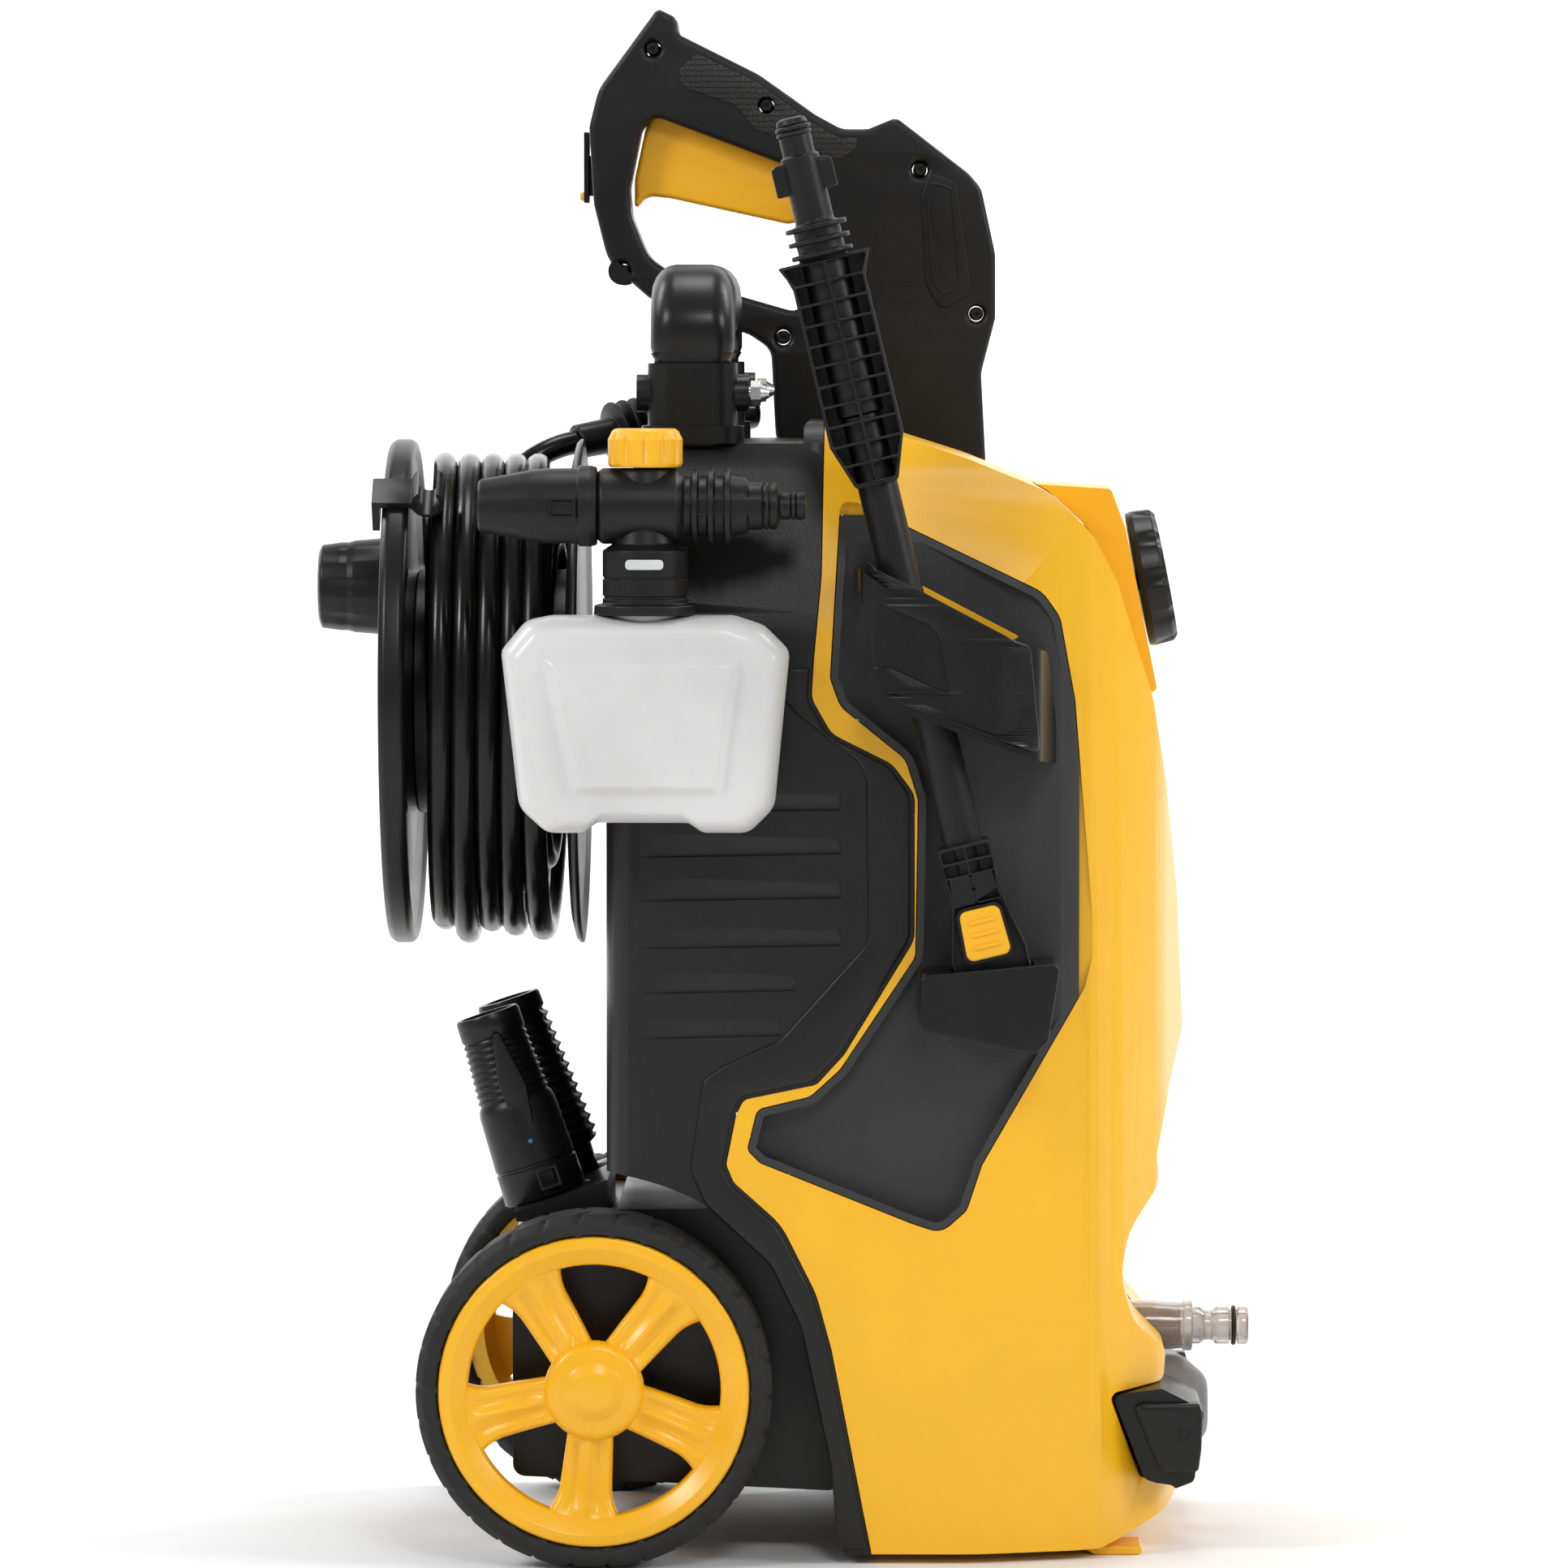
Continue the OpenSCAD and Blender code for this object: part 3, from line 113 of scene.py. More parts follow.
# %% Wrap sockets
class Socket:
    """A node output that can be added, subtracted, multiplied and divided."""
    def __init__(self, tree, out):
        self.tree, self.out = tree, out

    def math(self, operation, *others):
        node = self.tree.nodes.new("ShaderNodeMath")
        node.operation = operation
        for i, value in enumerate((self, *others)):
            if isinstance(value, Socket):
                self.tree.links.new(value.out, node.inputs[i])
            else:
                node.inputs[i].default_value = float(value)
        return Socket(self.tree, node.outputs[0])

    def __add__(self, o): return self.math("ADD", o)
    def __mul__(self, o): return self.math("MULTIPLY", o)
    def __sub__(self, o): return self.math("SUBTRACT", o)
    def __rsub__(self, o): return (self * -1.0).math("ADD", o)
    def __truediv__(self, o): return self.math("DIVIDE", o)
    def clamp(self): return self.math("MAXIMUM", 0.0).math("MINIMUM", 1.0)
    __radd__, __rmul__ = __add__, __mul__

# %% Build a material
class Finish:
    """A Principled material: node() adds any node, link() feeds a shader input, bump() the normal."""
    def __init__(self, name, color, roughness, **constants):
        self.material = bpy.data.materials.new(name)
        self.material.use_nodes = True
        self.tree = self.material.node_tree
        self.shader = self.tree.nodes["Principled BSDF"]
        self.shader.inputs["Base Color"].default_value = (*color, 1)
        self.shader.inputs["Roughness"].default_value = roughness
        for key, value in constants.items():
            self.shader.inputs[key.replace("_", " ")].default_value = value
        self.place = self.node("ShaderNodeTexCoord", out="Object")

    def node(self, kind, settings=None, out=0, **inputs):
        """Any node: settings are its properties; inputs go by name, or by number as i0, i1 and so on."""
        node = self.tree.nodes.new(kind)
        for key, value in (settings or {}).items():
            setattr(node, key, value)
        for key, value in inputs.items():
            socket = node.inputs[int(key[1:]) if key[0] == "i" and key[1:].isdigit() else key.replace("_", " ")]
            if isinstance(value, Socket):
                self.tree.links.new(value.out, socket)
            else:
                socket.default_value = value
        return Socket(self.tree, node.outputs[out])

    def noise(self, scale, detail=3.0, stretch=None):
        """Noise from 0 to 1 over the piece, scale in cells per metre."""
        place = self.place if stretch is None else self.node("ShaderNodeMapping", i0=self.place, Scale=stretch)
        return self.node("ShaderNodeTexNoise", Vector=place, Scale=scale, Detail=detail, Roughness=0.55)

    def mix(self, factor, a, b):
        return self.node("ShaderNodeMix", {"data_type": "RGBA"}, out=2, i0=factor, i6=a, i7=b)

    def link(self, name, value):
        self.tree.links.new(value.out, self.shader.inputs[name])

    def bump(self, height, depth):
        self.link("Normal", self.node("ShaderNodeBump", Height=height, Distance=depth))

# %% [markdown]
# ## Moulded plastic
# Most of the machine is injection-moulded plastic with a spark-eroded grain: a fine bump, a slow
# drift in gloss, and a few paler rubbed spots. One function makes every such finish, and each
# piece chooses its colour, gloss and grain.

# %% Mix the plastics
def moulded(name, color, roughness=0.42, grain=1400, depth=0.00006, drift=0.10, rub=0.12, **constants):
    """Base colour drifts by rub, roughness by drift, and grain cells per metre raise the skin by depth."""
    f = Finish(name, color, roughness, **constants)
    slow = f.noise(22, 4)
    fine = f.noise(grain, 2)
    patch = (slow * 2.4 - 0.7).clamp()
    light = tuple(min(1, c * (1 + rub) + 0.012 * rub) for c in color) + (1,)
    dark = tuple(c * (1 - rub) for c in color) + (1,)
    f.link("Base Color", f.mix(patch, dark, light))
    f.link("Roughness", patch * drift + (fine * 0.06) + (roughness - drift / 2 - 0.03))
    f.bump(fine, depth)
    return f.material

finishes = {"housing_black": moulded("housing_black", (0.008, 0.008, 0.008), 0.38, grain=1100, depth=0.00008,
    Specular_IOR_Level=0.36), "panel_black": moulded("panel_black", (0.026, 0.026, 0.027), 0.52, grain=700,
    depth=0.00015), "cover_yellow": moulded("cover_yellow", (0.94, 0.49, 0.010), 0.34, grain=1500,
    depth=0.00003, drift=0.05, rub=0.03), "wheel_yellow": moulded("wheel_yellow", (0.94, 0.48, 0.010), 0.28,
    grain=1500, depth=0.00002, drift=0.05, rub=0.03), "control_yellow": moulded("control_yellow",
    (0.94, 0.47, 0.010), 0.38, grain=1500, depth=0.00003, drift=0.06, rub=0.03),
    "trim_black": moulded("trim_black", (0.005, 0.005, 0.005), 0.33, grain=1500, depth=0.00004,
    Specular_IOR_Level=0.34), "gun_black": moulded("gun_black", (0.006, 0.006, 0.0065), 0.42, grain=1300,
    depth=0.00009, Specular_IOR_Level=0.32), "cap_grey": moulded("cap_grey", (0.20, 0.20, 0.205), 0.42),
    "pump_aluminium": moulded("pump_aluminium", (0.55, 0.56, 0.58), 0.38, grain=600, depth=0.0001,
    Metallic=1.0), "motor_steel": moulded("motor_steel", (0.40, 0.41, 0.43), 0.35, grain=900, depth=0.00005,
    Metallic=0.6), "rotor_steel": moulded("rotor_steel", (0.50, 0.30, 0.17), 0.40, grain=900, depth=0.0001,
    Metallic=1.0), }
print(len(finishes), "plastics and metals")

# %% [markdown]
# ## Rubber, steel and clear plastic
# Tyres are duller than plastic and the hose is glossier. The axle is zinc-plated steel with fine
# turning marks. The water bowl is clear. The bottle is milky: light enters it, scatters and comes back.

# %% Mix the other finishes
def rubber(name, color, roughness, depth):
    """Dull black with a slow dusty drift."""
    f = Finish(name, color, roughness, Specular_IOR_Level=0.3)
    dust = (f.noise(38, 5) * 3.0 - 1.2).clamp()
    f.link("Base Color", f.mix(dust * 0.5, (*color, 1), tuple(c * 1.8 + 0.004 for c in color) + (1,)))
    f.link("Roughness", dust * 0.12 + (roughness - 0.04))
    f.bump(f.noise(900, 3), depth)
    return f.material

def plated(name):
    """Zinc plate: metal with stretched noise, like turning marks."""
    f = Finish(name, (0.58, 0.59, 0.60), 0.28, Metallic=1.0)
    marks = f.noise(1500, 2, (1, 0.05, 1))
    f.link("Roughness", marks * 0.2 + 0.18)
    f.bump(marks, 0.00003)
    return f.material

def clear(name, tint, roughness):
    """See-through plastic whose gloss drifts a little."""
    f = Finish(name, tint, roughness, Transmission_Weight=0.80, IOR=1.47)
    f.link("Roughness", f.noise(60, 3) * 0.10 + roughness)
    return f.material

def milky(name):
    """Blown bottle plastic: a soft white body that lets light through, a little uneven in thickness."""
    f = Finish(name, (0.78, 0.78, 0.77), 0.38, Subsurface_Weight=0.12, Subsurface_Scale=0.01, Coat_Weight=0.15)
    thick = (f.noise(14, 3) * 2 - 0.5).clamp()
    f.link("Base Color", f.mix(thick, (0.60, 0.60, 0.60, 1), (0.74, 0.74, 0.74, 1)))
    f.link("Roughness", f.noise(120, 3) * 0.12 + 0.32)
    f.bump(f.noise(1600, 2), 0.00006)
    return f.material

def mesh_screen(name):
    """A woven filter: two crossed waves make the holes of the weave."""
    f = Finish(name, (0.55, 0.36, 0.28), 0.6)
    a = f.node("ShaderNodeTexWave", {"bands_direction": "X"}, out=1, Vector=f.place, Scale=260.0)
    b = f.node("ShaderNodeTexWave", {"bands_direction": "Z"}, out=1, Vector=f.place, Scale=260.0)
    f.link("Base Color", f.mix(a * b, (0.30, 0.18, 0.14, 1), (0.68, 0.48, 0.40, 1)))
    f.bump(a * b, 0.0002)
    return f.material

def pebbled(name, color, cell):
    """Soft grip with a raised diamond pattern: Voronoi cells as small pads."""
    f = Finish(name, color, 0.55)
    pads = f.node("ShaderNodeTexVoronoi", {"feature": "DISTANCE_TO_EDGE"}, Vector=f.place, Scale=cell,
        Randomness=0.25)
    edge = (pads * 5).clamp()
    # The grooves between the pads are darkened to half the colour: this is painted shade in the recesses, not a
    # colour of the rubber.
    f.link("Base Color", f.mix(edge, tuple(c * 0.5 for c in color) + (1,), (*color, 1)))
    f.link("Roughness", 0.62 - edge * 0.12)
    f.bump(edge, 0.0004)
    return f.material

finishes["hose_rubber"] = rubber("hose_rubber", (0.003, 0.003, 0.003), 0.24, 0.00003)
finishes["tyre_rubber"] = rubber("tyre_rubber", (0.016, 0.016, 0.016), 0.62, 0.00012)
finishes["seal_rubber"] = rubber("seal_rubber", (0.010, 0.010, 0.010), 0.40, 0.00003)
finishes["bright_steel"] = plated("bright_steel")
finishes["clear_plastic"] = clear("clear_plastic", (0.72, 0.70, 0.69), 0.04)
finishes["bottle_plastic"] = milky("bottle_plastic")
finishes["screen_mesh"] = mesh_screen("screen_mesh")
finishes["grip_rubber"] = pebbled("grip_rubber", (0.014, 0.014, 0.0145), 420.0)
finishes["mark_blue"] = moulded("mark_blue", (0.03, 0.16, 0.34), 0.4)
print(len(finishes), "finishes")

# %% [markdown]
# ## The hose
# High-pressure hose is stiff: it will not bend tighter than about four diameters. Most of it is
# wound on the drum in layers, and a short lead goes over the flange to the gun's coupling.
# A cord is a curve: one open spline whose bevel gives it thickness.

# %% Make a cord from points
def hose_curve(name, points, diameter):
    """One open spline through the points (mm), with a round bevel of half the diameter."""
    data = bpy.data.curves.new(name, "CURVE")
    data.dimensions = "3D"
    data.bevel_depth = diameter / 2 * MM
    data.bevel_resolution = 4
    data.use_fill_caps = True
    spline = data.splines.new("POLY")
    spline.points.add(len(points) - 1)
    co = np.c_[np.asarray(points) * MM, np.ones(len(points))]
    spline.points.foreach_set("co", co.ravel())
    data.materials.append(finishes["hose_rubber"])
    obj = bpy.data.objects.new(name, data)
    bpy.context.scene.collection.objects.link(obj)
    return obj

def run_length(points):
    """Length along the points: the sum of the distances between neighbours."""
    return float(np.linalg.norm(np.diff(points, axis=0), axis=1).sum())

def smooth_run(points, n):
    """Catmull-Rom through the points, resampled evenly into n points."""
    p = np.vstack([2 * points[0] - points[1], points, 2 * points[-1] - points[-2]])
    t = np.linspace(0, len(points) - 1 - 1e-6, n * 8)
    i = t.astype(int)
    f = (t - i)[:, None]
    a, b, c, d = p[i], p[i + 1], p[i + 2], p[i + 3]
    q = 0.5 * (2 * b + (c - a) * f + (2 * a - 5 * b + 4 * c - d) * f**2 + (3 * b - a - 3 * c + d) * f**3)
    s = np.r_[0, np.cumsum(np.linalg.norm(np.diff(q, axis=0), axis=1))]
    return np.stack([np.interp(np.linspace(0, s[-1], n), s, q[:, k]) for k in range(3)], 1)

# %% Wind the hose on the drum
lead_route = np.array([[-89, 96, 445], [-94.5, 93.3, 443.6], [-99.9, 91, 441.5], [-105.2, 89.1, 438.7],
    [-110.2, 87.9, 435.1], [-114.8, 87.1, 430.9], [-118.9, 87.1, 426.1], [-122.3, 87.6, 420.9],
    [-125.2, 88.7, 415.4], [-127.3, 90.3, 409.7], [-128.8, 92.3, 404], [-129.7, 94.8, 398.3],
    [-130, 97.6, 392.7]])
layers, turns_each, points_per_turn = 4, 5, 36
layer_r = np.linspace(drum_r + HOSE / 2 + 2, coil_r - HOSE / 2 - 0.3, layers)
x_left, x_right = coil_low[0] + 6, coil_high[0] - 6
turn = np.linspace(0, layers * turns_each, layers * turns_each * points_per_turn)
layer = np.clip((turn / turns_each).astype(int), 0, layers - 1)
along = turn / turns_each - layer
wind_x = np.where(layer % 2 == 0, x_left + (x_right - x_left) * along, x_right + (x_left - x_right) * along)
# At the end of a layer the hose climbs to the next, and at the very end it rises to meet the lead.
climb = np.clip((along - 0.94) / 0.06, 0, 1)
wind_r = layer_r[layer] + (layer_r[np.minimum(layer + 1,
    layers - 1)] - layer_r[layer]) * climb**2 * (3 - 2 * climb)
end_lift = np.clip((turn - turn[-1] + 0.2) / 0.2, 0, 1)
wind_r = wind_r + (np.hypot(*(lead_route[-1][1:] - [reel_y, reel_z])) - wind_r[-1]) * end_lift**2
phase = math.atan2(lead_route[-1][2] - reel_z, lead_route[-1][1] - reel_y)
angle = phase + 2 * math.pi * (turn[-1] - turn)
# The outer layer is slack: it hangs lower under the drum, by an amount that differs from turn to turn.
hang = np.clip(-np.sin(angle), 0, 1) ** 2 * np.where(layer == layers - 1, 1, 0) * (1 - end_lift)
wind_r = wind_r + hang * (3.5 + 3.0 * np.sin(2.5 * turn))
wind_x = wind_x + 3.2 * np.sin(angle - 0.6) * np.clip((turn - 15.2) / 0.8, 0, 1) * (1 - end_lift)
coil_path = np.stack([wind_x, reel_y + wind_r * np.cos(angle), reel_z + wind_r * np.sin(angle)], 1)
hose_coil = hose_curve("wound_hose", coil_path, HOSE)
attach(hose_coil, "reel")
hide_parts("hose_coil")
print("wound hose", round(run_length(coil_path) * MM, 2), "m")

# %% Lead the hose to the gun
lead_path = smooth_run(lead_route, 30)
hose_lead = hose_curve("hose_to_gun", lead_path, HOSE)
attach(hose_lead, "machine")
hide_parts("hose_lead")
print("hose lead", round(run_length(lead_path), 1), "mm")

# %% [markdown]
# ## From arrays to a piece
# Every new shape is a grid of points: a function of two parameters. Quads join neighbouring
# points, poles are closed by merging the points that meet there, and normals are turned outwards.

# %% Turn a grid into a piece
MERGE = 1e-6

def grid_quads(rows, cols, wrap_rows, wrap_cols):
    """Quads between neighbouring points of a rows x cols grid, all at once."""
    i = np.arange(rows if wrap_rows else rows - 1)
    j = np.arange(cols if wrap_cols else cols - 1)
    a, b = np.meshgrid(i, j, indexing="ij")
    c, d = (a + 1) % rows, (b + 1) % cols
    return np.stack([a * cols + b, c * cols + b, c * cols + d, a * cols + d], -1).reshape(-1, 4)

def dress(obj, body, finish, nodes=()):
    """Give a piece its body, its finish and the CAD nodes it stands for."""
    obj.data.materials.clear()
    obj.data.materials.append(finishes[finish])
    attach(obj, body)
    if nodes:
        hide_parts(*nodes)
    return obj

def piece(name, parts, body, finish, nodes=(), angle=38):
    """Join (points, faces) parts in millimetres into one mesh, close it, and point it outwards."""
    mesh = bpy.data.meshes.new(name)
    points, faces, start = [], [], 0
    for p, f in parts:
        p = np.asarray(p, float).reshape(-1, 3)
        points.append(p)
        faces += [[int(k) + start for k in face] for face in f]
        start += len(p)
    mesh.from_pydata((np.vstack(points) * MM).tolist(), [], faces)
    bm = bmesh.new()
    bm.from_mesh(mesh)
    bmesh.ops.remove_doubles(bm, verts=bm.verts, dist=MERGE)
    bmesh.ops.dissolve_degenerate(bm, edges=bm.edges, dist=MERGE)
    bmesh.ops.recalc_face_normals(bm, faces=bm.faces)
    bm.to_mesh(mesh)
    bm.free()
    mesh.shade_smooth()
    mesh.set_sharp_from_angle(angle=math.radians(angle))
    obj = bpy.data.objects.new(name, mesh)
    bpy.context.scene.collection.objects.link(obj)
    return dress(obj, body, finish, nodes)

def add_bevel(obj, width, angle, segments=2):
    """Round the edges sharper than angle (degrees) by width (mm)."""
    mod = obj.modifiers.new("edge", "BEVEL")
    mod.width, mod.segments, mod.limit_method = width * MM, segments, "ANGLE"
    mod.angle_limit = math.radians(angle)
    mod.harden_normals = True
    mod.miter_outer = "MITER_ARC"

# %% Round the corners of an outline
def rounded(points, steps=6):
    """A closed outline from corners (a, b, radius): each corner becomes an arc of its radius."""
    pts = np.asarray(points, float)
    out = []
    for k in range(len(pts)):
        at, r = pts[k, :2], pts[k, 2]
        u, w = pts[k - 1, :2] - at, pts[(k + 1) % len(pts), :2] - at
        lu, lw = max(np.linalg.norm(u), 1e-9), max(np.linalg.norm(w), 1e-9)
        u, w = u / lu, w / lw
        if r <= 0 or np.linalg.norm(u + w) < 0.02:
            out.append(at[None])
            continue
        half = math.acos(np.clip(u @ w, -1, 1)) / 2
        reach = min(r / math.tan(half), 0.49 * lu, 0.49 * lw)
        rr = reach * math.tan(half)
        centre = at + (u + w) / np.linalg.norm(u + w) * rr / math.sin(half)
        a0, a1 = (math.atan2(*(at + v * reach - centre)[::-1]) for v in (u, w))
        sweep = (a1 - a0 + math.pi) % (2 * math.pi) - math.pi
        a = a0 + sweep * np.linspace(0, 1, steps + 1)
        out.append(centre + rr * np.stack([np.cos(a), np.sin(a)], 1))
    return np.vstack(out)

def even(outline, step):
    """The closed outline resampled with points about one step apart."""
    loop = np.vstack([outline, outline[:1]])
    s = np.r_[0, np.cumsum(np.linalg.norm(np.diff(loop, axis=0), axis=1))]
    q = np.linspace(0, s[-1], max(12, int(s[-1] / step)), endpoint=False)
    return np.stack([np.interp(q, s, loop[:, k]) for k in range(2)], 1)

# %% Turn a profile round an axis
def turned(profile, origin, axis, n=64, flute=None, wrap=False):
    """A lathe: profile (radius, height) carried round axis. flute(angle, height) scales the radius."""
    w = np.asarray(axis, float) / np.linalg.norm(axis)
    u = np.cross(w, [0, 0, 1] if abs(w[2]) < 0.9 else [0, 1, 0])
    u /= np.linalg.norm(u)
    v = np.cross(w, u)
    prof = np.asarray(profile, float)
    t = np.linspace(0, 2 * math.pi, n, endpoint=False)[None, :]
    r, h = prof[:, :1] + 0 * t, prof[:, 1:2] + 0 * t
    if flute is not None:
        r = r * flute(t, h)
    P = np.asarray(origin, float) + h[..., None] * w + r[..., None] * (np.cos(t)[..., None] * u + np.sin(t)[...,
        None] * v)
    return P.reshape(-1, 3), grid_quads(len(prof), n, wrap, True)

# %% Cut a plate with rounded edges
def offset_in(outline, d):
    """The outline moved inwards by d along its vertex normals (outline runs anticlockwise for d > 0)."""
    t = np.roll(outline, -1, 0) - np.roll(outline, 1, 0)
    t /= np.linalg.norm(t, axis=1)[:, None] + 1e-12
    return outline + d * np.stack([-t[:, 1], t[:, 0]], 1)

def turn_left(outline):
    """The outline, reversed if it runs clockwise."""
    x, z = outline.T
    area = (x * np.roll(z, -1) - np.roll(x, -1) * z).sum()
    return outline if area > 0 else outline[::-1]

def far_side(a, t, b):
    """The place for a plate on the -Y side: its thickness runs towards -Y."""
    return np.stack([a, -t, b], -1)

def plate(loops, low, high, edge=1.0, place=None, steps=4, edge_low=None):
    """Outline loops (a, b), the first outer and the rest holes, with thickness from low to high.
    Rows follow a quarter circle of radius edge at each face. place maps (a, thickness, b) to space."""
    place = place or (lambda a, t, b: np.stack([a, t, b], -1))
    edge_low = edge if edge_low is None else edge_low
    q = np.linspace(0, math.pi / 2, steps + 1)
    inset = np.r_[edge_low * (1 - np.sin(q)), edge * (1 - np.cos(q))]
    depth = np.r_[low + edge_low * (1 - np.cos(q)), high - edge * (1 - np.sin(q))]
    parts, caps = [], {0: [], len(inset) - 1: []}
    start = 0
    for k, loop in enumerate(loops):
        loop = turn_left(np.asarray(loop, float))
        rings = np.stack([offset_in(loop, d if k == 0 else -d) for d in inset])
        P = place(rings[..., 0], depth[:, None] + 0 * rings[..., 0], rings[..., 1])
        parts.append((P.reshape(-1, 3), grid_quads(len(inset), len(loop), False, True)))
        for row in caps:
            caps[row].append((rings[row], P[row]))
    for row, ends in caps.items():
        flat = [[Vector((*p, 0)) for p in ring] for ring, _ in ends]
        parts.append((np.vstack([P for _, P in ends]), tessellate_polygon(flat)))
    return parts

# %% Carry a section along a path
def swept(path, section, up):
    """A section (side, up) carried along a path: side is tangent x up, so the section never twists.
    Both ends are closed with a cap."""
    path = np.asarray(path, float)
    t = np.gradient(path, axis=0)
    t /= np.linalg.norm(t, axis=1)[:, None]
    s = np.cross(t, up)
    s /= np.linalg.norm(s, axis=1)[:, None]
    n = np.cross(s, t)
    sec = np.asarray(section, float)
    P = path[:, None] + sec[None, :, :1] * s[:, None] + sec[None, :, 1:] * n[:, None]
    faces = grid_quads(len(path), len(sec), False, True).tolist()
    k, m = len(sec), len(path)
    faces += [list(range(k)), list(range((m - 1) * k, m * k))]
    return P.reshape(-1, 3), faces

def rectangle(a0, b0, a1, b1, r, n):
    """A rectangle between two corners, its own corners rounded by r."""
    return rounded([[a0, b0, r], [a1, b0, r], [a1, b1, r], [a0, b1, r]], n)

def box_section(w, h, r, n=5):
    """A rectangle w by h round the origin."""
    return rectangle(-w / 2, -h / 2, w / 2, h / 2, r, n)

def eased(profile):
    """A lathe profile with its corners rounded: (radius, height, corner radius) to plain points, left open."""
    pts = np.asarray(profile, float)
    closed = rounded(np.vstack([pts, [[-50, pts[-1, 1], 0], [-50, pts[0, 1], 0]]]))
    return closed[:-2]

# %% [markdown]
# ## Copies of CAD nodes with softened edges
# Shells, brackets and internal parts already have the right shape. A merged copy of the node
# gets a small bevel, because no moulded edge is truly sharp and the bevel catches the light.

# %% Soften a CAD node
CAD_MERGE = 2e-5

def softened(node, finish, width, angle=32):
    """A merged copy of a CAD node with bevelled edges, standing for that node."""
    mesh = frame["nodes"][node].data.copy()
    bm = bmesh.new()
    bm.from_mesh(mesh)
    bmesh.ops.remove_doubles(bm, verts=bm.verts, dist=CAD_MERGE)
    bmesh.ops.dissolve_degenerate(bm, edges=bm.edges, dist=CAD_MERGE)
    bmesh.ops.dissolve_limit(bm, angle_limit=math.radians(0.8), verts=bm.verts, edges=bm.edges)
    bm.to_mesh(mesh)
    bm.free()
    mesh.name = node + "_soft"
    mesh.shade_smooth()
    mesh.set_sharp_from_angle(angle=math.radians(angle))
    obj = bpy.data.objects.new(node + "_soft", mesh)
    bpy.context.scene.collection.objects.link(obj)
    add_bevel(obj, width, angle)
    return dress(obj, body_of[node], finish or slot_of[node], [node])

hard_edges = {"rear_housing": ("housing_black", 0.8), "front_cover": ("cover_yellow", 0.8),
    "switch_boss": ("cover_yellow", 1.0), "base_tray": ("trim_black", 1.2), "front_feet": ("cover_yellow", 0.8),
    "lance_pocket": ("panel_black", 0.7), "gun_pocket": ("panel_black", 0.7), "lance_cup": ("trim_black", 0.6),
    "gun_holder": ("trim_black", 0.8), "front_bumper": ("trim_black", 1.0),
    "handle_collars": ("trim_black", 0.5), "foam_bracket": ("trim_black", 0.6),
    "nozzle_holder": ("trim_black", 0.8), "gun_barrel": ("trim_black", 0.5), "gun_latch": ("trim_black", 0.4),
    "reel_bracket": ("trim_black", 0.6), "reel_drum": ("trim_black", 0.6), "hose_clip": ("trim_black", 0.3)}
for node, (finish, width) in hard_edges.items():
    softened(node, finish, width)
for node in ("axle", "motor_can", "motor_rotor", "pump", "inlet_pipe", "outlet_pipe", "switch_box", "capacitor",
    "cord_gland", "clamp_bolts", "inlet_screen", "inlet_o_ring"):
    cad = frame["nodes"][node]
    cad.data.materials.clear()
    cad.data.materials.append(finishes[slot_of[node]])
print("softened copies made")

# %% [markdown]
# ## The wheels
# The tyre is a profile turned round the axle, with slanted tread grooves cut into its shoulders.
# The rim is turned too, and five dished spokes, each with a raised bead, join it to the hub.

# %% Turn the tyres
tyre_low, tyre_high = span("tyre_left")
tyre_w, wheel_r = (tyre_high - tyre_low)[1:] / (1, 2)
rim_r = (span("wheel_left")[1][2] - span("wheel_left")[0][2]) / 2

def tread(t, h):
    """Grooves every 12 degrees that slant across the tread and fade out on the side wall."""
    slant = (t / (2 * math.pi) * 30 + np.sign(h) * 0.028 * h) % 1.0
    groove = np.clip(1 - np.abs(slant - 0.5) / 0.09, 0, 1) ** 0.5
    shoulder = np.clip((np.abs(h) - 3.5) / 1.5, 0, 1)
    return 1 - 0.020 * groove * shoulder

def tyre_profile(w, r_in, r_out):
    """The tyre's cross-section, w wide, with points close enough together to carry the tread."""
    half = w / 2
    corners = eased([[r_in, -half + 3, 0.8], [r_in + 1.2, -half + 0.4, 1.2], [r_in + 3.2, -half, 1.2],
        [r_out - 3.2, -half, 2.4], [r_out, -half + 4.5, 2.6], [r_out, half - 4.5, 2.6],
        [r_out - 3.2, half, 2.4], [r_in + 3.2, half, 1.2], [r_in + 1.2, half - 0.4, 1.2],
        [r_in, half - 3, 0.8]])
    dense = []
    for a, b in zip(corners[:-1], corners[1:]):
        n = max(1, int(np.linalg.norm(b - a) / 1.6))
        dense.append(a + (b - a) * np.linspace(0, 1, n, endpoint=False)[:, None])
    return np.vstack(dense + [corners[-1:]])

for hand in (-1, 1):
    name = "left" if hand < 0 else "right"
    centre = middle("tyre_" + name)
    shape = turned(tyre_profile(tyre_w, rim_r, wheel_r), centre, (0, 1, 0), 360, tread, wrap=True)
    piece("tyre_with_tread_" + name, [shape], "wheel_" + name, "tyre_rubber", ["tyre_" + name], angle=50)
print("tyres", round(wheel_r * 2), "mm across")

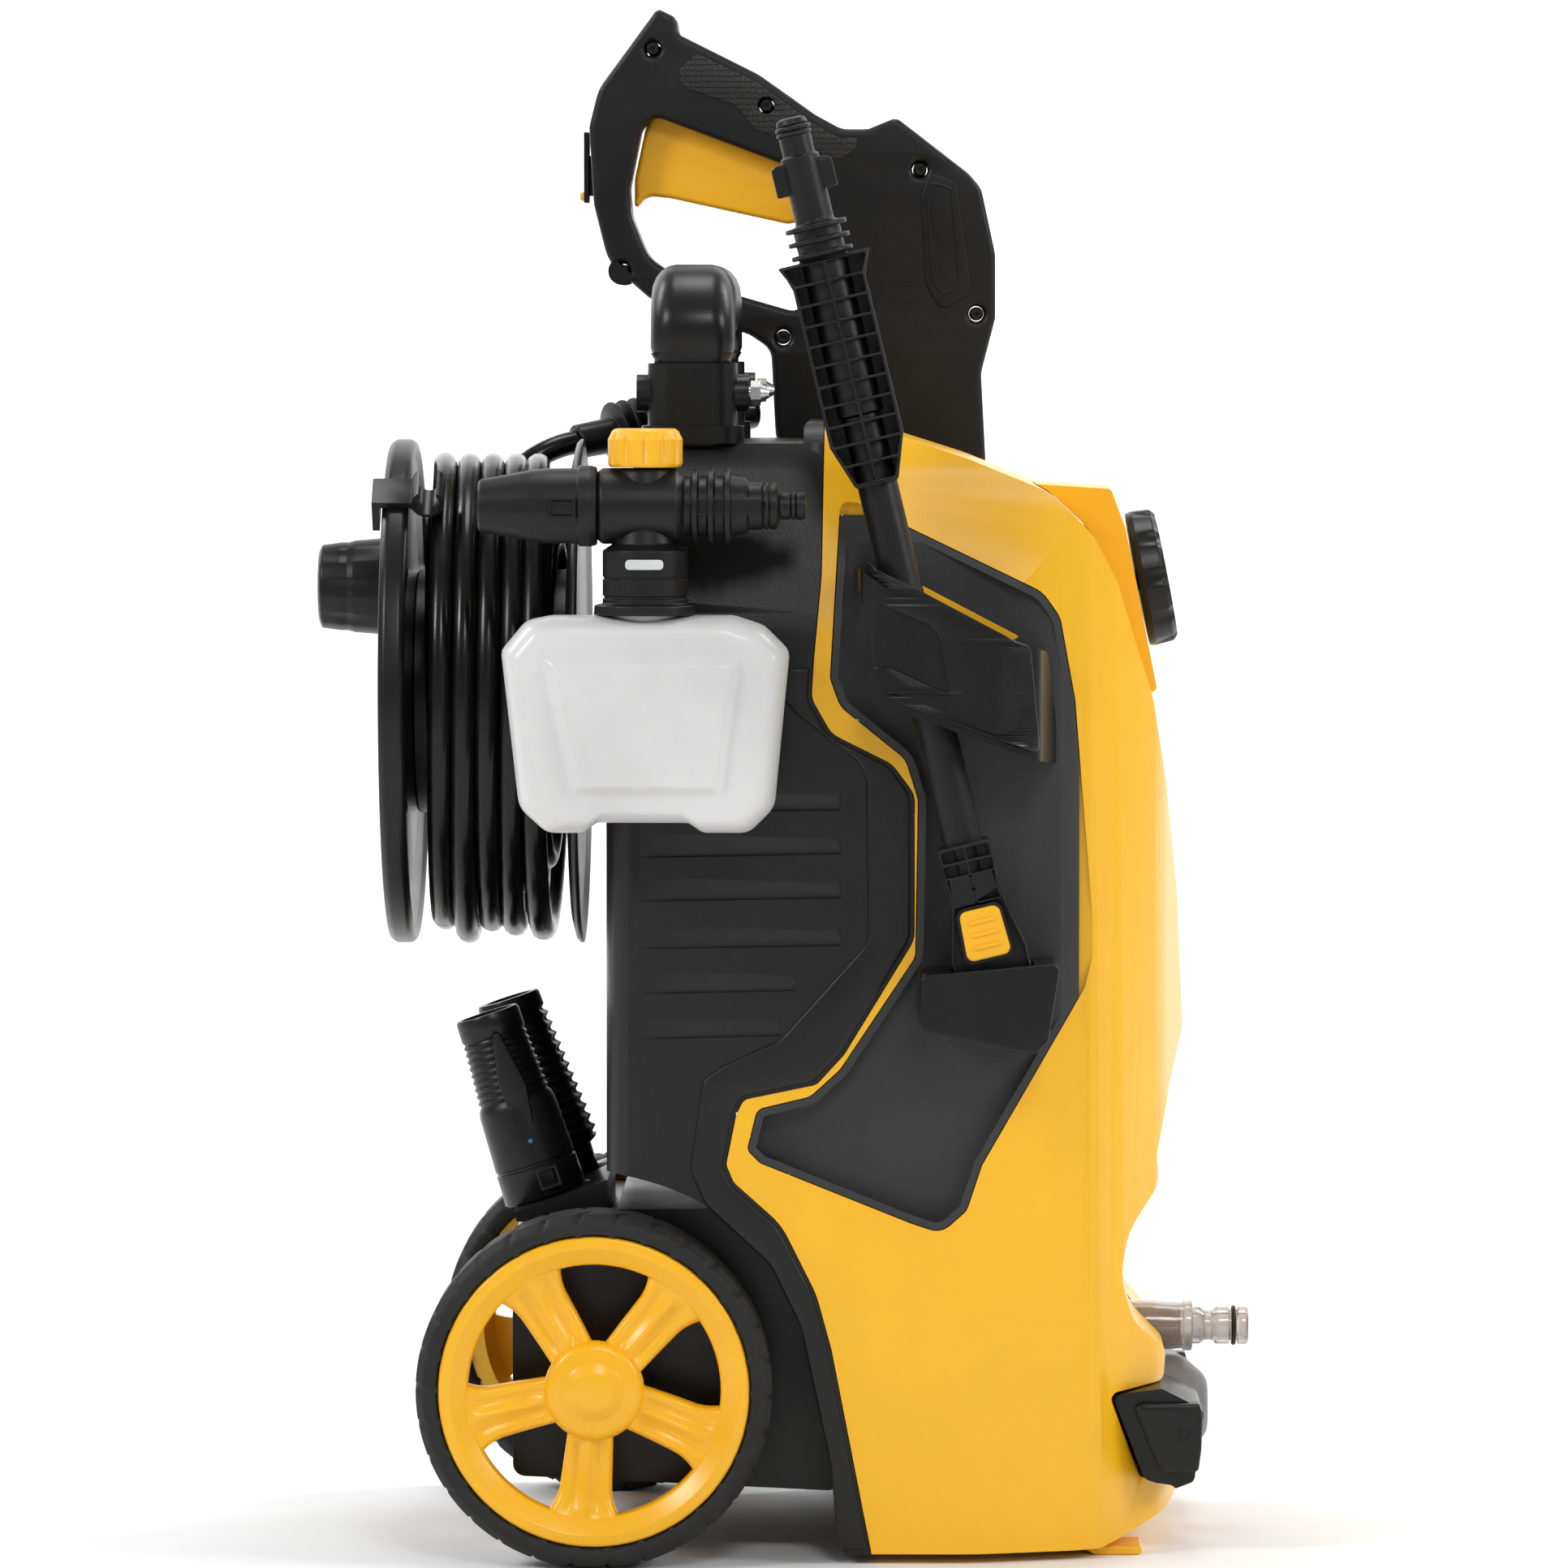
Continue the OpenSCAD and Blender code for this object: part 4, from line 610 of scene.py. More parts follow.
# %% Shape rim, spokes and hub
def spoke(centre, hand, angle):
    """A closed band from hub to rim. Across it the face has a central bead and two shallow grooves,
    and along it the face dips like a dish."""
    u = np.linspace(0, 1, 26)[:, None]
    v = np.linspace(-1, 1, 31)[None, :]
    radius = 9 + (rim_r - 8 - 9) * u
    half = 8.6 + 2.6 * u + 6.5 * np.clip((u - 0.66) / 0.34, 0, 1) ** 2 + 3 * np.clip((0.2 - u) / 0.2, 0, 1) ** 2
    dish = 14.2 - 5.0 * np.sin(math.pi * np.clip(u * 1.05, 0, 1)) ** 0.9 - 1.2 * u
    reach = np.clip((u - 0.22) / 0.06, 0, 1) * np.clip((0.93 - u) / 0.08, 0, 1)
    relief = 1.3 * np.exp(-((v / 0.16) ** 2)) - 1.0 * np.exp(-(((np.abs(v) - 0.42) / 0.16) ** 2))
    round_off = 1.8 * np.clip((np.abs(v) - 0.8) / 0.2, 0, 1) ** 2
    top = dish + relief * reach - round_off
    across = half * v
    back = 0 * top + dish - 7.5
    P_a = np.concatenate([radius + 0 * v, (radius + 0 * v)[:, ::-1]], 1)
    P_c = np.concatenate([across, across[:, ::-1]], 1)
    P_t = np.concatenate([top, back[:, ::-1]], 1) * hand
    a = math.radians(angle)
    P = np.stack([centre[0] + P_a * math.cos(a) - P_c * math.sin(a), centre[1] + P_t,
        centre[2] + P_a * math.sin(a) + P_c * math.cos(a)], -1)
    rows, cols = P.shape[:2]
    faces = grid_quads(rows, cols, False, True).tolist() + [list(range(cols)),
        list(range((rows - 1) * cols, rows * cols))]
    return P.reshape(-1, 3), faces

first_spoke = -95
for hand in (-1, 1):
    name = "left" if hand < 0 else "right"
    c = middle("tyre_" + name)
    half = tyre_w / 2
    rim = turned(eased([[rim_r, -half + 3.2, 1], [rim_r, half - 2.6, 1], [rim_r - 0.4, half - 0.4, 1.5],
        [rim_r - 4.5, half - 0.2, 2], [rim_r - 11.5, half - 4.6, 2.5], [rim_r - 11.8, half - 12, 2],
        [rim_r - 6.5, half - 16, 1], [rim_r - 6.5, -half + 3.2, 1]]), c, (0, hand, 0), 120, wrap=True)
    hub = turned(eased([[6.1, -half + 1, 0.5], [13, -half + 1, 1], [13.5, 4, 3], [21, 8, 4], [18.5, 13.4, 4],
        [11, 14.8, 3], [6.1, 15.2, 0.3]]), c, (0, hand, 0), 64, wrap=True)
    spokes = [spoke(c, hand, first_spoke + 72 * k) for k in range(5)]
    piece("wheel_rim_" + name, [rim, hub] + spokes, "wheel_" + name, "wheel_yellow", ["wheel_" + name],
        angle=45)
print("wheels done")

# %% [markdown]
# ## The hose reel
# Two flanges hold the wound hose. Both are turned profiles. The outer one has a rolled rim, a recessed
# web and a flat arm that carries the crank knob.

# %% Turn the flanges
web_x = span("outer_flange")[1][0] - 12
outer = turned(eased([[0, 3.4, 0], [drum_r - 6, 3.4, 2], [drum_r, 5.2, 2], [flange_r - 12, 5.2, 3],
    [flange_r - 5.5, 1.6, 3], [flange_r - 2.5, 0, 2], [flange_r, 3, 3], [flange_r, 9.5, 3],
    [flange_r - 2.5, 12, 2], [flange_r - 6, 9.5, 3], [flange_r - 14, 7.6, 3], [drum_r, 7.4, 1],
    [drum_r - 1, 11.9, 0.5], [0, 11.9, 0]]), (web_x, reel_y, reel_z), (1, 0, 0), 144)
crank_z = middle("crank_knob")[2]
crank_r = crank_z - reel_z
arm = plate([even(rounded([[-24, -24, 20], [24, -24, 20], [24, crank_r + 24, 22], [-24, crank_r + 24, 22]], 10),
    2.2)], web_x - 2, web_x + 4, 1.4, place=lambda a, t, b: np.stack([t, reel_y + a, reel_z + b], -1))
piece("reel_outer_flange", [outer] + arm, "reel", "trim_black", ["outer_flange"], angle=40)
inner = turned(eased([[14, 0, 0], [drum_r + 16, 0, 2], [flange_r - 8, 1.6, 3], [flange_r - 1.5, 3.2, 1],
    [flange_r, 4.6, 1], [flange_r, 6, 1], [flange_r - 3, 6, 1], [flange_r - 9, 4, 3], [drum_r + 16, 2.6, 2],
    [14, 2.6, 0]]), (reel_low[0], reel_y, reel_z), (1, 0, 0), 144, wrap=True)
piece("reel_inner_flange", [inner], "reel", "trim_black", ["inner_flange"], angle=40)

# %% Turn the crank knob
knob_low, knob_high = span("crank_knob")
knob_l = knob_high[0] - knob_low[0]

def scallops(t, h):
    """Eight shallow hollows along the sides of the knob."""
    return 1 - 0.045 * np.clip(np.cos(8 * t), 0, 1) * np.clip((h - 1) / 4, 0, 1) * np.clip((knob_l - 3 - h) / 3,
        0, 1)

crank = turned(eased([[0, 0, 0], [14.5, 0, 0], [17.3, 1.2, 1.6], [18.4, 9, 3], [18.4, knob_l * 0.45, 2],
    [19.2, knob_l * 0.55, 2], [20, knob_l, 0.8], [5.1, knob_l, 0.2], [5.1, knob_l - 13, 0],
    [0, knob_l - 13, 0]]), (knob_low[0], reel_y, crank_z), (1, 0, 0), 160, scallops)
piece("crank_grip", [crank], "crank", "trim_black", ["crank_knob"], angle=40)
print("reel done")

# %% [markdown]
# ## The pull-out handle
# The handle is one bow of moulded plastic: a rounded section is carried up one leg, round two corners
# and down the other.

# %% Sweep the bow
bow_low, bow_high = span("handle_bow")
leg_w, leg_t, grip_w = bow_high[0] - bow_low[0] - 1, 22.0, 34.0
leg_x = (bow_low[0] + bow_high[0]) / 2
leg_y = bow_high[1] - leg_t / 2
turn_r = 18.0
q = np.linspace(0, math.pi / 2, 14)
top = bow_high[2] - 16
corner = np.stack([0 * q + leg_x, -leg_y + turn_r * (1 - np.cos(q)), top - turn_r + turn_r * np.sin(q)], 1)
collar_top = span("handle_collars")[1][2]
leg = np.array([[leg_x, -leg_y, z] for z in (bow_low[2], collar_top + 1.5, collar_top + 4, top - turn_r - 4)])
half_bow = np.vstack([leg, corner])
bow_path = np.vstack([half_bow, half_bow[::-1] * (1, -1, 1)])
bow = swept(bow_path, box_section(leg_t, leg_w, 9), (1, 0, 0))
P = bow[0].reshape(len(bow_path), -1, 3)
# Above the collars the legs widen along X, and round the top the whole section grows.
fat = np.clip((P[..., 2] - (top - turn_r - 4)) / 14, 0, 1)[..., None]
mid = bow_path[:, None] + 0 * P
wide = np.clip((mid[..., 2] - collar_top - 2) / 2, 0, 1)[..., None]
P = mid + (P - mid) * (1 + fat * np.array([0.0, 0.35, 0.42]) + wide * np.array([grip_w / leg_w - 1, 0, 0]))
piece("pull_out_handle", [(P.reshape(-1, 3), bow[1])], "handle", "trim_black", ["handle_bow"], angle=40)
print("handle bow", [round(float(v), 1) for v in bow_high - bow_low])

# %% [markdown]
# ## The lance
# The lance leans in its pocket. Its grip is an open lattice of ribs, because thick plastic would sink
# as it cools. A round core runs up the middle, and a bayonet with two ears and small O-rings ends it.

# %% Work in the lance's own frame
lance_foot = np.array([84.0, middle("lance_tube")[1], 241.0])
lean_x, lean_z = 80, 335
lance_lean = math.atan2(lean_x, lean_z)
lance_up = np.array([-math.sin(lance_lean), 0, math.cos(lance_lean)])
lance_side = np.array([math.cos(lance_lean), 0, math.sin(lance_lean)])
lance_len = math.hypot(lean_x, lean_z)

def on_lance(a, t, b):
    """Across the lance, through it, and up it."""
    return lance_foot + a[..., None] * lance_side + t[..., None] * np.array([0, 1, 0]) + b[..., None] * lance_up

def lance_front(a, t, b):
    """The same, with thickness towards the side that faces out."""
    return on_lance(a, -t, b)

def lance_lathe(profile, n=40, flute=None, wrap=False):
    return turned(profile, lance_foot, lance_up, n, flute, wrap)

def lattice(spans, columns):
    """Cells between ribs: each span (low, high, half width low, half width high) is cut into columns."""
    cells = []
    for low, high, w0, w1 in spans:
        for c0, c1 in columns:
            corners = [[c0 * w0, low], [c1 * w0, low], [c1 * w1, high], [c0 * w1, high]]
            cells.append(rounded([[x, z, 0.5] for x, z in corners], 2))
    return cells

# %% Mould the lance grip
grip_low, neck_len = 196.0, 57
grip_high = lance_len - neck_len

def grip_half_width(z):
    """Half width of the grip up its length, straight lines between the measured places."""
    return np.interp(z, [grip_low, grip_low + 18, grip_high - 10, grip_high - 5, grip_high],
        [8.6, 14.9, 14.6, 16.2, 18.6])

edge_z = np.array([grip_low, grip_low + 18, grip_high - 10, grip_high - 5, grip_high - 1.5, grip_high])
edge_w = grip_half_width(edge_z)
grip_outline = rounded([[w, z, 1.5] for w, z in zip(edge_w, edge_z)]
    + [[-w, z, 1.5] for w, z in zip(edge_w[::-1], edge_z[::-1])], 3)
rows = np.linspace(grip_low + 1.2, grip_high - 0.8, 12)
spans = [(a + 0.6, b - 0.6, grip_half_width(a) - 1.5, grip_half_width(b) - 1.5) for a, b in zip(rows[:-1],
    rows[1:])]
grip_cells = lattice(spans, [(-1, -0.055), (0.055, 1)])

def belly(a, t, b):
    """The grip is fuller in the middle than at its sides."""
    return on_lance(a, t * (1.0 - 0.0014 * a * a), b)

lance_bits = plate([grip_outline] + grip_cells, -12, 12, 0.5, place=belly, steps=2)
web = grip_outline * [0.94, 1]
lance_bits += plate([web], -1.2, 1.2, 0.2, place=on_lance, steps=1)
lance_bits.append(lance_lathe(eased([[0, grip_low + 28.2, 0], [9.2, grip_low + 28.2, 0.5], [9.2, grip_high, 1],
    [0, grip_high, 0]])))
neck = [[0, grip_high - 0.5, 0], [10.4, grip_high - 0.5, 0.3]]
for k in range(3):
    z = grip_high + 1.0 + 5.4 * k
    neck += [[9.4, z, 0.3], [12.3, z + 0.2, 0.5], [12.3, z + 2.0, 0.5], [9.4, z + 2.2, 0.3]]
neck += [[7.9, grip_high + 14.5, 0.8], [7.7, grip_high + 16, 1], [7.7, lance_len - 16, 0.8],
    [7.2, lance_len - 15.6, 0.3], [6.4, lance_len - 15, 0.6], [6.4, lance_len - 7.6, 0.3],
    [5.8, lance_len - 7.3, 0.2], [5.8, lance_len - 3.2, 0.2], [6.4, lance_len - 2.9, 0.3],
    [5.6, lance_len - 0.8, 0.6], [3.0, lance_len, 0.4], [3.0, lance_len - 4, 0], [0, lance_len - 4, 0]]
lance_bits.append(lance_lathe(eased(neck), 48))
ear_z = lance_len - 24
lance_bits += plate([rounded([[-12.2, ear_z - 6.2, 0.8], [12.2, ear_z - 6.2, 0.8], [12.2, ear_z + 5, 0.8],
    [10, ear_z + 6.4, 0.8], [-10, ear_z + 6.4, 0.8], [-12.2, ear_z + 5, 0.8]], 3)], -3.5, 3.5, 0.6,
    place=on_lance, steps=2)
piece("lance_handle_grip", lance_bits, "lance", "gun_black", ["lance_grip"], angle=40)
seal_z = lance_len - 4.4
ring = np.linspace(0, 2 * math.pi, 12, endpoint=False)
seals = [lance_lathe(np.c_[6.1 + 0.95 * np.cos(ring), z + 0.95 * np.sin(ring)], 40, wrap=True)
    for z in (seal_z, seal_z - 2.1)]
piece("lance_o_rings", seals, "lance", "seal_rubber")

# %% Draw the lance tube and mould its head
tube_r = (span("lance_tube")[1][1] - span("lance_tube")[0][1]) / 2
piece("lance_pipe", [lance_lathe(eased([[0, 30, 0], [tube_r, 30, 0.4], [tube_r, grip_low + 27.9, 0.4],
    [0, grip_low + 27.9, 0]]), 48)], "lance", "gun_black", ["lance_tube"])
head_outline = rounded([[-15, -22, 4], [15, -22, 4], [15, 6, 3], [9.5, 30, 3], [11, 50, 2], [-11, 50, 2],
    [-9.5, 30, 3], [-15, 6, 3]], 4)

def head_half_width(z):
    """Half width of the nozzle head up its length."""
    return np.interp(z, [6, 28, 34, 50], [14.5, 11.0, 10.6, 10.8])

rows = np.linspace(26.2, 49, 5)
spans = [(a + 0.6, b - 0.6, head_half_width(a) - 1.4, head_half_width(b) - 1.4) for a, b in zip(rows[:-1],
    rows[1:])]
head_back = plate([head_outline] + lattice(spans, [(-1, -0.07), (0.07, 1)]), 6.5, 11, 0.6, place=on_lance,
    steps=2)
button_hole = rounded([[-9.6, 3.4, 3], [9.6, 3.4, 3], [8.6, 24.6, 3], [-8.6, 24.6, 3]], 4)
head_face = plate([head_outline, button_hole] + lattice(spans, [(-1, -0.07), (0.07, 1)]), 6.5, 11, 0.6,
    place=lance_front, steps=2)
head_core = plate([head_outline], -6.5, 6.5, 0.1, place=on_lance, steps=1)
piece("lance_head_shell", head_face + head_back + head_core, "lance", "gun_black", ["lance_head"], angle=40)
button_outline = rounded([[-9, 4, 3], [9, 4, 3], [8, 24, 3], [-8, 24, 3]], 5)
button_bits = plate([button_outline], 8.8, 12.2, 0.9, place=lance_front)
for z in (9, 14, 19):
    button_bits += plate([rectangle(-5.5, z - 0.8, 5.5, z + 0.8, 0.7, 3)], 12.0, 12.9, 0.3, place=lance_front,
        steps=2)
piece("lance_release_button", button_bits, "lance_button", "control_yellow", ["lance_button"])
print("lance", round(lance_len, 1), "mm long")

# %% [markdown]
# ## The trigger gun
# Two shell halves are screwed together. The outline is a plate with well-rounded edges; the grip
# carries a rubbery pad of small cells, and the trigger is a yellow blade that turns in its slot.

# %% Mould the gun halves
gun_outline = rounded([[-55, 628, 2], [-47, 624, 3], [-46, 617, 3], [-38, 613, 4], [-12, 600, 30],
    [12, 583, 20], [23, 577, 10], [34, 577, 4], [46, 582, 4], [77, 558, 5], [82, 552, 8], [88, 524, 20],
    [88, 497, 6], [82, 474, 10], [84, 436, 20], [79, 400, 20], [77, 374, 3], [43, 374, 3], [34, 404, 20],
    [10, 430, 14], [-5, 446, 6], [-7, 484, 8], [-16, 490, 5], [-58, 505, 16], [-76, 521, 18], [-82, 545, 10],
    [-84, 578, 10], [-80, 594, 20]])
hand_gap = rounded([[-62, 577, 4], [-67, 552, 14], [-66, 540, 14], [-59, 523, 14], [-46, 514, 8], [6, 499, 6],
    [10, 512, 6], [15, 541, 4], [13, 556, 3], [-4, 563, 20], [-56, 582.5, 5]])
gun_y = middle("gun_trigger")[1]
gun_low, gun_high = span("gun_shell_left")[0][1], span("gun_shell_right")[1][1]
gun_loops = [even(gun_outline, 2.2), even(hand_gap, 2.2)]
screws = np.array([[-57, 611], [-9, 587], [56, 560], [80, 499], [-70, 517], [-2, 489]])

def disc(centre, r, n=28):
    """A circle of n points."""
    t = np.linspace(0, 2 * math.pi, n, endpoint=False)
    return np.stack([centre[0] + r * np.cos(t), centre[1] + r * np.sin(t)], 1)

def cross_slot(t, h):
    """Four notches in the hollow of a screw head."""
    return 1 - 0.3 * (np.abs(np.cos(2 * t)) > 0.93) * (h > -1.1) * (h < -0.3)

sunk = eased([[0, -1.2, 0], [0.8, -1.2, 0], [0.9, 0, 0.2], [2.3, 0.1, 0.5], [2.9, -0.6, 0.4], [2.9, -3.5, 0],
    [0, -3.5, 0]])
side_panel = rounded([[58, 556, 3], [70, 552.5, 3], [74, 510, 3], [65, 506.5, 3], [61, 514, 3]], 4)
plateau = even(rounded([[56.5, 549, 3], [60, 559, 3], [71.5, 555.5, 4], [78, 508, 4], [65, 500, 4],
    [58.5, 511, 3]], 5), 1.5)
for half, low, high in (("left", gun_low, gun_y - 0.05), ("right", gun_y, gun_high)):
    out = -1 if half == "left" else 1
    face = low if out < 0 else high
    place = far_side if out < 0 else None
    t0, t1 = (-high, -low) if out < 0 else (low, high)
    holes = [disc(s, 3.3) for s in screws]
    bits = plate(gun_loops + holes, t0, t1, 2.6, place=place, steps=5, edge_low=0.15)
    bits += plate([plateau], t1 - 1, t1 + 0.9, 0.85, place=place, steps=3)
    bits += plate([even(side_panel, 1.5), even(offset_in(turn_left(even(side_panel, 1.5)), 1.4), 1.5)],
        t1 + 0.5, t1 + 1.3, 0.3, place=place, steps=2)
    piece("gun_half_" + half, bits, "machine", "gun_black", ["gun_shell_" + half], angle=40)
    heads = []
    for s in screws:
        heads.append(turned(sunk[::-1], (s[0], face - out * 1.4, s[1]), (0, out, 0), 24, cross_slot))
    piece("gun_screws_" + half, heads, "machine", "trim_black")

# %% Pad, trigger and latch
pad_outline = rounded([[-38.6, 609, 3], [-46, 602, 3], [-45, 595, 4], [-22, 587, 8], [-14, 577, 8],
    [22, 564, 6], [27, 567, 4], [32, 573.5, 3], [22, 573, 10], [10, 580, 20], [-13, 597, 30]])
pad_loop = even(pad_outline, 1.6)
pads = plate([pad_loop, disc(screws[1], 3.6)], -(gun_low + 1.2), -(gun_low - 0.7), 0.5, place=far_side, steps=2)
pads += plate([pad_loop, disc(screws[1], 3.6)], gun_high - 1.2, gun_high + 0.7, 0.5, steps=2)
piece("gun_pad_both_sides", pads, "machine", "grip_rubber", ["gun_grip_pad"])
trigger_outline = rounded([[-60.5, 577, 4], [-56, 585, 4], [-4, 566, 10], [30, 557, 6], [31, 545, 6],
    [18, 541, 6], [0, 537, 6], [-50, 548, 14], [-60, 549, 6], [-65, 542, 1], [-65, 556, 6]])
trigger = plate([even(trigger_outline, 1.6), disc((24, 550), 2.05)], gun_y - 9, gun_y + 9, 2.2, steps=5)
piece("gun_trigger_blade", trigger, "trigger", "control_yellow", ["gun_trigger"])
latch_low = span("gun_latch")[0]
dot = turned(eased([[0, 2.0, 0], [1.6, 2.0, 0.6], [2.2, 0, 0], [0, 0, 0]])[::-1],
    (latch_low[0] + 0.2, gun_y, latch_low[2] + 2.8), (-1, 0, 0), 24)
piece("gun_latch_dot", [dot], "latch", "control_yellow")
print("gun done")

# %% [markdown]
# ## The foam bottle
# The bottle is blow-moulded: a pillow with a raised panel pressed into each face. A cross-shaped head
# carries the dosing knob, a turning nozzle and a finned connector that pushes into the gun.

# %% Blow the bottle
bottle_low, bottle_high = span("foam_bottle")
knob_mid = middle("foam_knob")
foam_x, foam_y = knob_mid[0], knob_mid[1]
foam_z = 423.0
bottle_top = foam_z - 43
bottle_t = bottle_high[1] - bottle_low[1]
w, h = 114.0, 86.0  # the bottle's width and height
bottle_outline = rounded([[-w / 2, -14, 4], [-w / 2 + 10, -2, 8], [-w / 2 + 20, 0, 8], [w / 2 - 22, 0, 8],
    [w / 2 - 10, -4, 8], [w / 2, -14, 6], [w / 2 - 6, -76, 10], [w / 2 - 16, -h, 8], [w / 2 - 34, -h, 2],
    [w / 2 - 40, -82, 2], [-w / 2 + 38, -82, 2], [-w / 2 + 32, -h, 2], [-w / 2 + 18, -h, 8],
    [-w / 2 + 7, -76, 10]], 8)

def pillow(outline, half_t, reach, panel, proud):
    """Rings shrink towards the middle. Over the first part of the way in, the depth follows a quarter of a
    superellipse up to the full thickness; the face is then flat except where the panel stands proud."""
    ring0, face_rings, slope = even(outline, 2.0), 60, 5.0
    c = np.array([ring0[:, 0].mean(), (ring0[:, 1].max() + ring0[:, 1].min()) / 2])
    q = np.linspace(0, math.pi / 2, 9)
    shrink = np.r_[1 - reach * (1 - np.cos(q) ** 0.9), np.linspace(1 - reach, 0, face_rings)[1:]]
    depth = np.r_[half_t * np.sin(q) ** 0.85, np.full(face_rings - 1, half_t)]
    flat = c + shrink[:, None, None] * (ring0 - c)
    x, z = flat[..., 0], flat[..., 1]
    d = np.full(x.shape, 1e9)
    for (x0, z0), (x1, z1) in zip(panel, np.roll(panel, -1, 0)):
        nx, nz = -(z1 - z0), x1 - x0
        d = np.minimum(d, ((x - x0) * nx + (z - z0) * nz) / math.hypot(nx, nz))
    rise = np.clip(d / slope, 0, 1)
    y = depth[:, None] + proud * rise**2 * (3 - 2 * rise)
    front = np.stack([foam_x + x, foam_y - y, bottle_top + z], -1)
    back = np.stack([foam_x + x, foam_y + depth[:, None] + 0 * y, bottle_top + z], -1)
    rows = np.concatenate([front[::-1], back[1:]])
    return rows.reshape(-1, 3), grid_quads(len(rows), len(ring0), False, True)

panel = np.array([[-41, -15], [-29, -71], [31, -71], [39, -15]])
bottle = [pillow(bottle_outline, bottle_t / 2 - 3, 0.17, panel, 3.4)]
bottle.append(turned(eased([[0, -2, 0], [14, -2, 0], [14, 10, 0.8], [12, 10, 0.5], [12, 4, 0], [0, 4, 0]]),
    (foam_x, foam_y, bottle_top), (0, 0, 1), 48))
piece("foam_bottle_blown", bottle, "foam_cannon", "bottle_plastic", ["foam_bottle"], angle=60)

# %% Mould the head, nozzle and knob
def upright(profile, z, n=64, flute=None):
    """A lathe shape on the bottle's upright axis."""
    return turned(eased(profile), (foam_x, foam_y, z), (0, 0, 1), n, flute)

def sideways(profile, x, n=56, flute=None, sign=1):
    """A lathe shape on the head's axis along X."""
    return turned(eased(profile), (x, foam_y, foam_z), (sign, 0, 0), n, flute)

collar = upright([[14.1, 0.05, 0], [20, 0.05, 0.8], [20, 4, 1], [16.9, 4.6, 0.6], [16.9, 6.4, 0.3],
    [16.3, 6.7, 0.2], [16.3, 7.5, 0.2], [16.9, 7.8, 0.3], [16.9, 14, 0.3], [16.4, 14.3, 0.2], [16.4, 15, 0.2],
    [16.9, 15.3, 0.3], [16.9, 25.5, 1], [13, 28, 2], [12, 33, 1], [12, 52, 1], [11, 57.5, 1], [0, 57.5, 0]],
    bottle_top, 72, lambda t, h: 1 + 0.012 * np.cos(36 * t) * (h > 0.3) * (h < 3.8))
cross = sideways([[0, -24, 0], [7, -24, 0.3], [7, -19, 0.3], [13.2, -19, 1], [15, -17, 2], [15, 12, 2],
    [11.6, 15.5, 2], [11.6, 18, 0.5], [14.6, 18.4, 0.6], [14.6, 20.6, 0.6], [11.8, 21, 0.5], [11.8, 24.4, 0.5],
    [15.2, 24.8, 0.6], [15.2, 27, 0.6], [11.8, 27.4, 0.5], [11.8, 31, 0.5], [15.2, 31.4, 0.6],
    [15.2, 33.6, 0.6], [11.8, 34, 0.5], [11.0, 40, 1], [9.4, 41, 0.5], [9.4, 46, 0.6], [8.6, 46.4, 0.3],
    [8.6, 49, 0.3], [9.2, 49.4, 0.5], [9.2, 52, 1], [5.4, 53.5, 1], [5.4, 57, 0.4], [4.6, 57.4, 0.3],
    [4.6, 59.4, 0.3], [5.4, 59.8, 0.4], [5.4, 63, 0.8], [2.4, 63.4, 0.3], [2.4, 60, 0], [0, 60, 0]], foam_x)
lugs = []
for sign in (-1, 1):
    lugs += plate([rounded([[foam_x + 18, foam_z - 3.5, 1], [foam_x + 46, foam_z - 3.5, 1.5],
        [foam_x + 46, foam_z + 3.5, 1.5], [foam_x + 18, foam_z + 3.5, 1]], 3)],
        min(foam_y, foam_y + sign * 13.2), max(foam_y, foam_y + sign * 13.2), 0.6, steps=2)
window = plate([rectangle(foam_x - 7.5, bottle_top + 18.2, foam_x + 7.5, bottle_top + 22.2, 1.5, 3)],
    foam_y - 17.4, foam_y - 14, 0.4, steps=2)
piece("foam_head_body", [collar, cross] + lugs, "foam_cannon", "gun_black", ["foam_head"], angle=40)
piece("foam_head_window", window, "foam_cannon", "bottle_plastic")
o_ring = [turned(np.c_[4.7 + 0.9 * np.cos(ring), 58.4 + 0.9 * np.sin(ring)], (foam_x, foam_y, foam_z),
    (1, 0, 0), 40, wrap=True), turned(np.c_[8.4 + 1.0 * np.cos(ring), 47.7 + 1.0 * np.sin(ring)],
    (foam_x, foam_y, foam_z), (1, 0, 0), 40, wrap=True)]
piece("foam_head_o_rings", o_ring, "foam_cannon", "seal_rubber")
nozzle = sideways([[7.06, 0, 0.2], [15.4, 0, 1], [16, 2.5, 1], [16, 7, 0.5], [15, 7.6, 0.4], [14.8, 20, 1],
    [14.2, 26, 2], [10.4, 46, 1], [9.4, 47, 0.6], [7.4, 47, 0.5], [6.8, 30, 0], [0, 30, 0]], foam_x - 19, 72,
    lambda t, h: 1 - 0.03 * (np.abs(np.sin(t)) < 0.16) * (h > 24) * (h < 45), sign=-1)
nozzle_window = plate([rectangle(foam_x - 38, foam_z - 5, foam_x - 27, foam_z + 4, 0.8, 2),
    rectangle(foam_x - 36.6, foam_z - 3.6, foam_x - 28.4, foam_z + 2.6, 0.5, 2)], foam_y - 15.8, foam_y - 13,
    0.3, steps=2)
piece("foam_nozzle_cone", [nozzle] + nozzle_window, "foam_spray", "gun_black", ["foam_nozzle"], angle=40)
knob_z = span("foam_knob")[0][2]
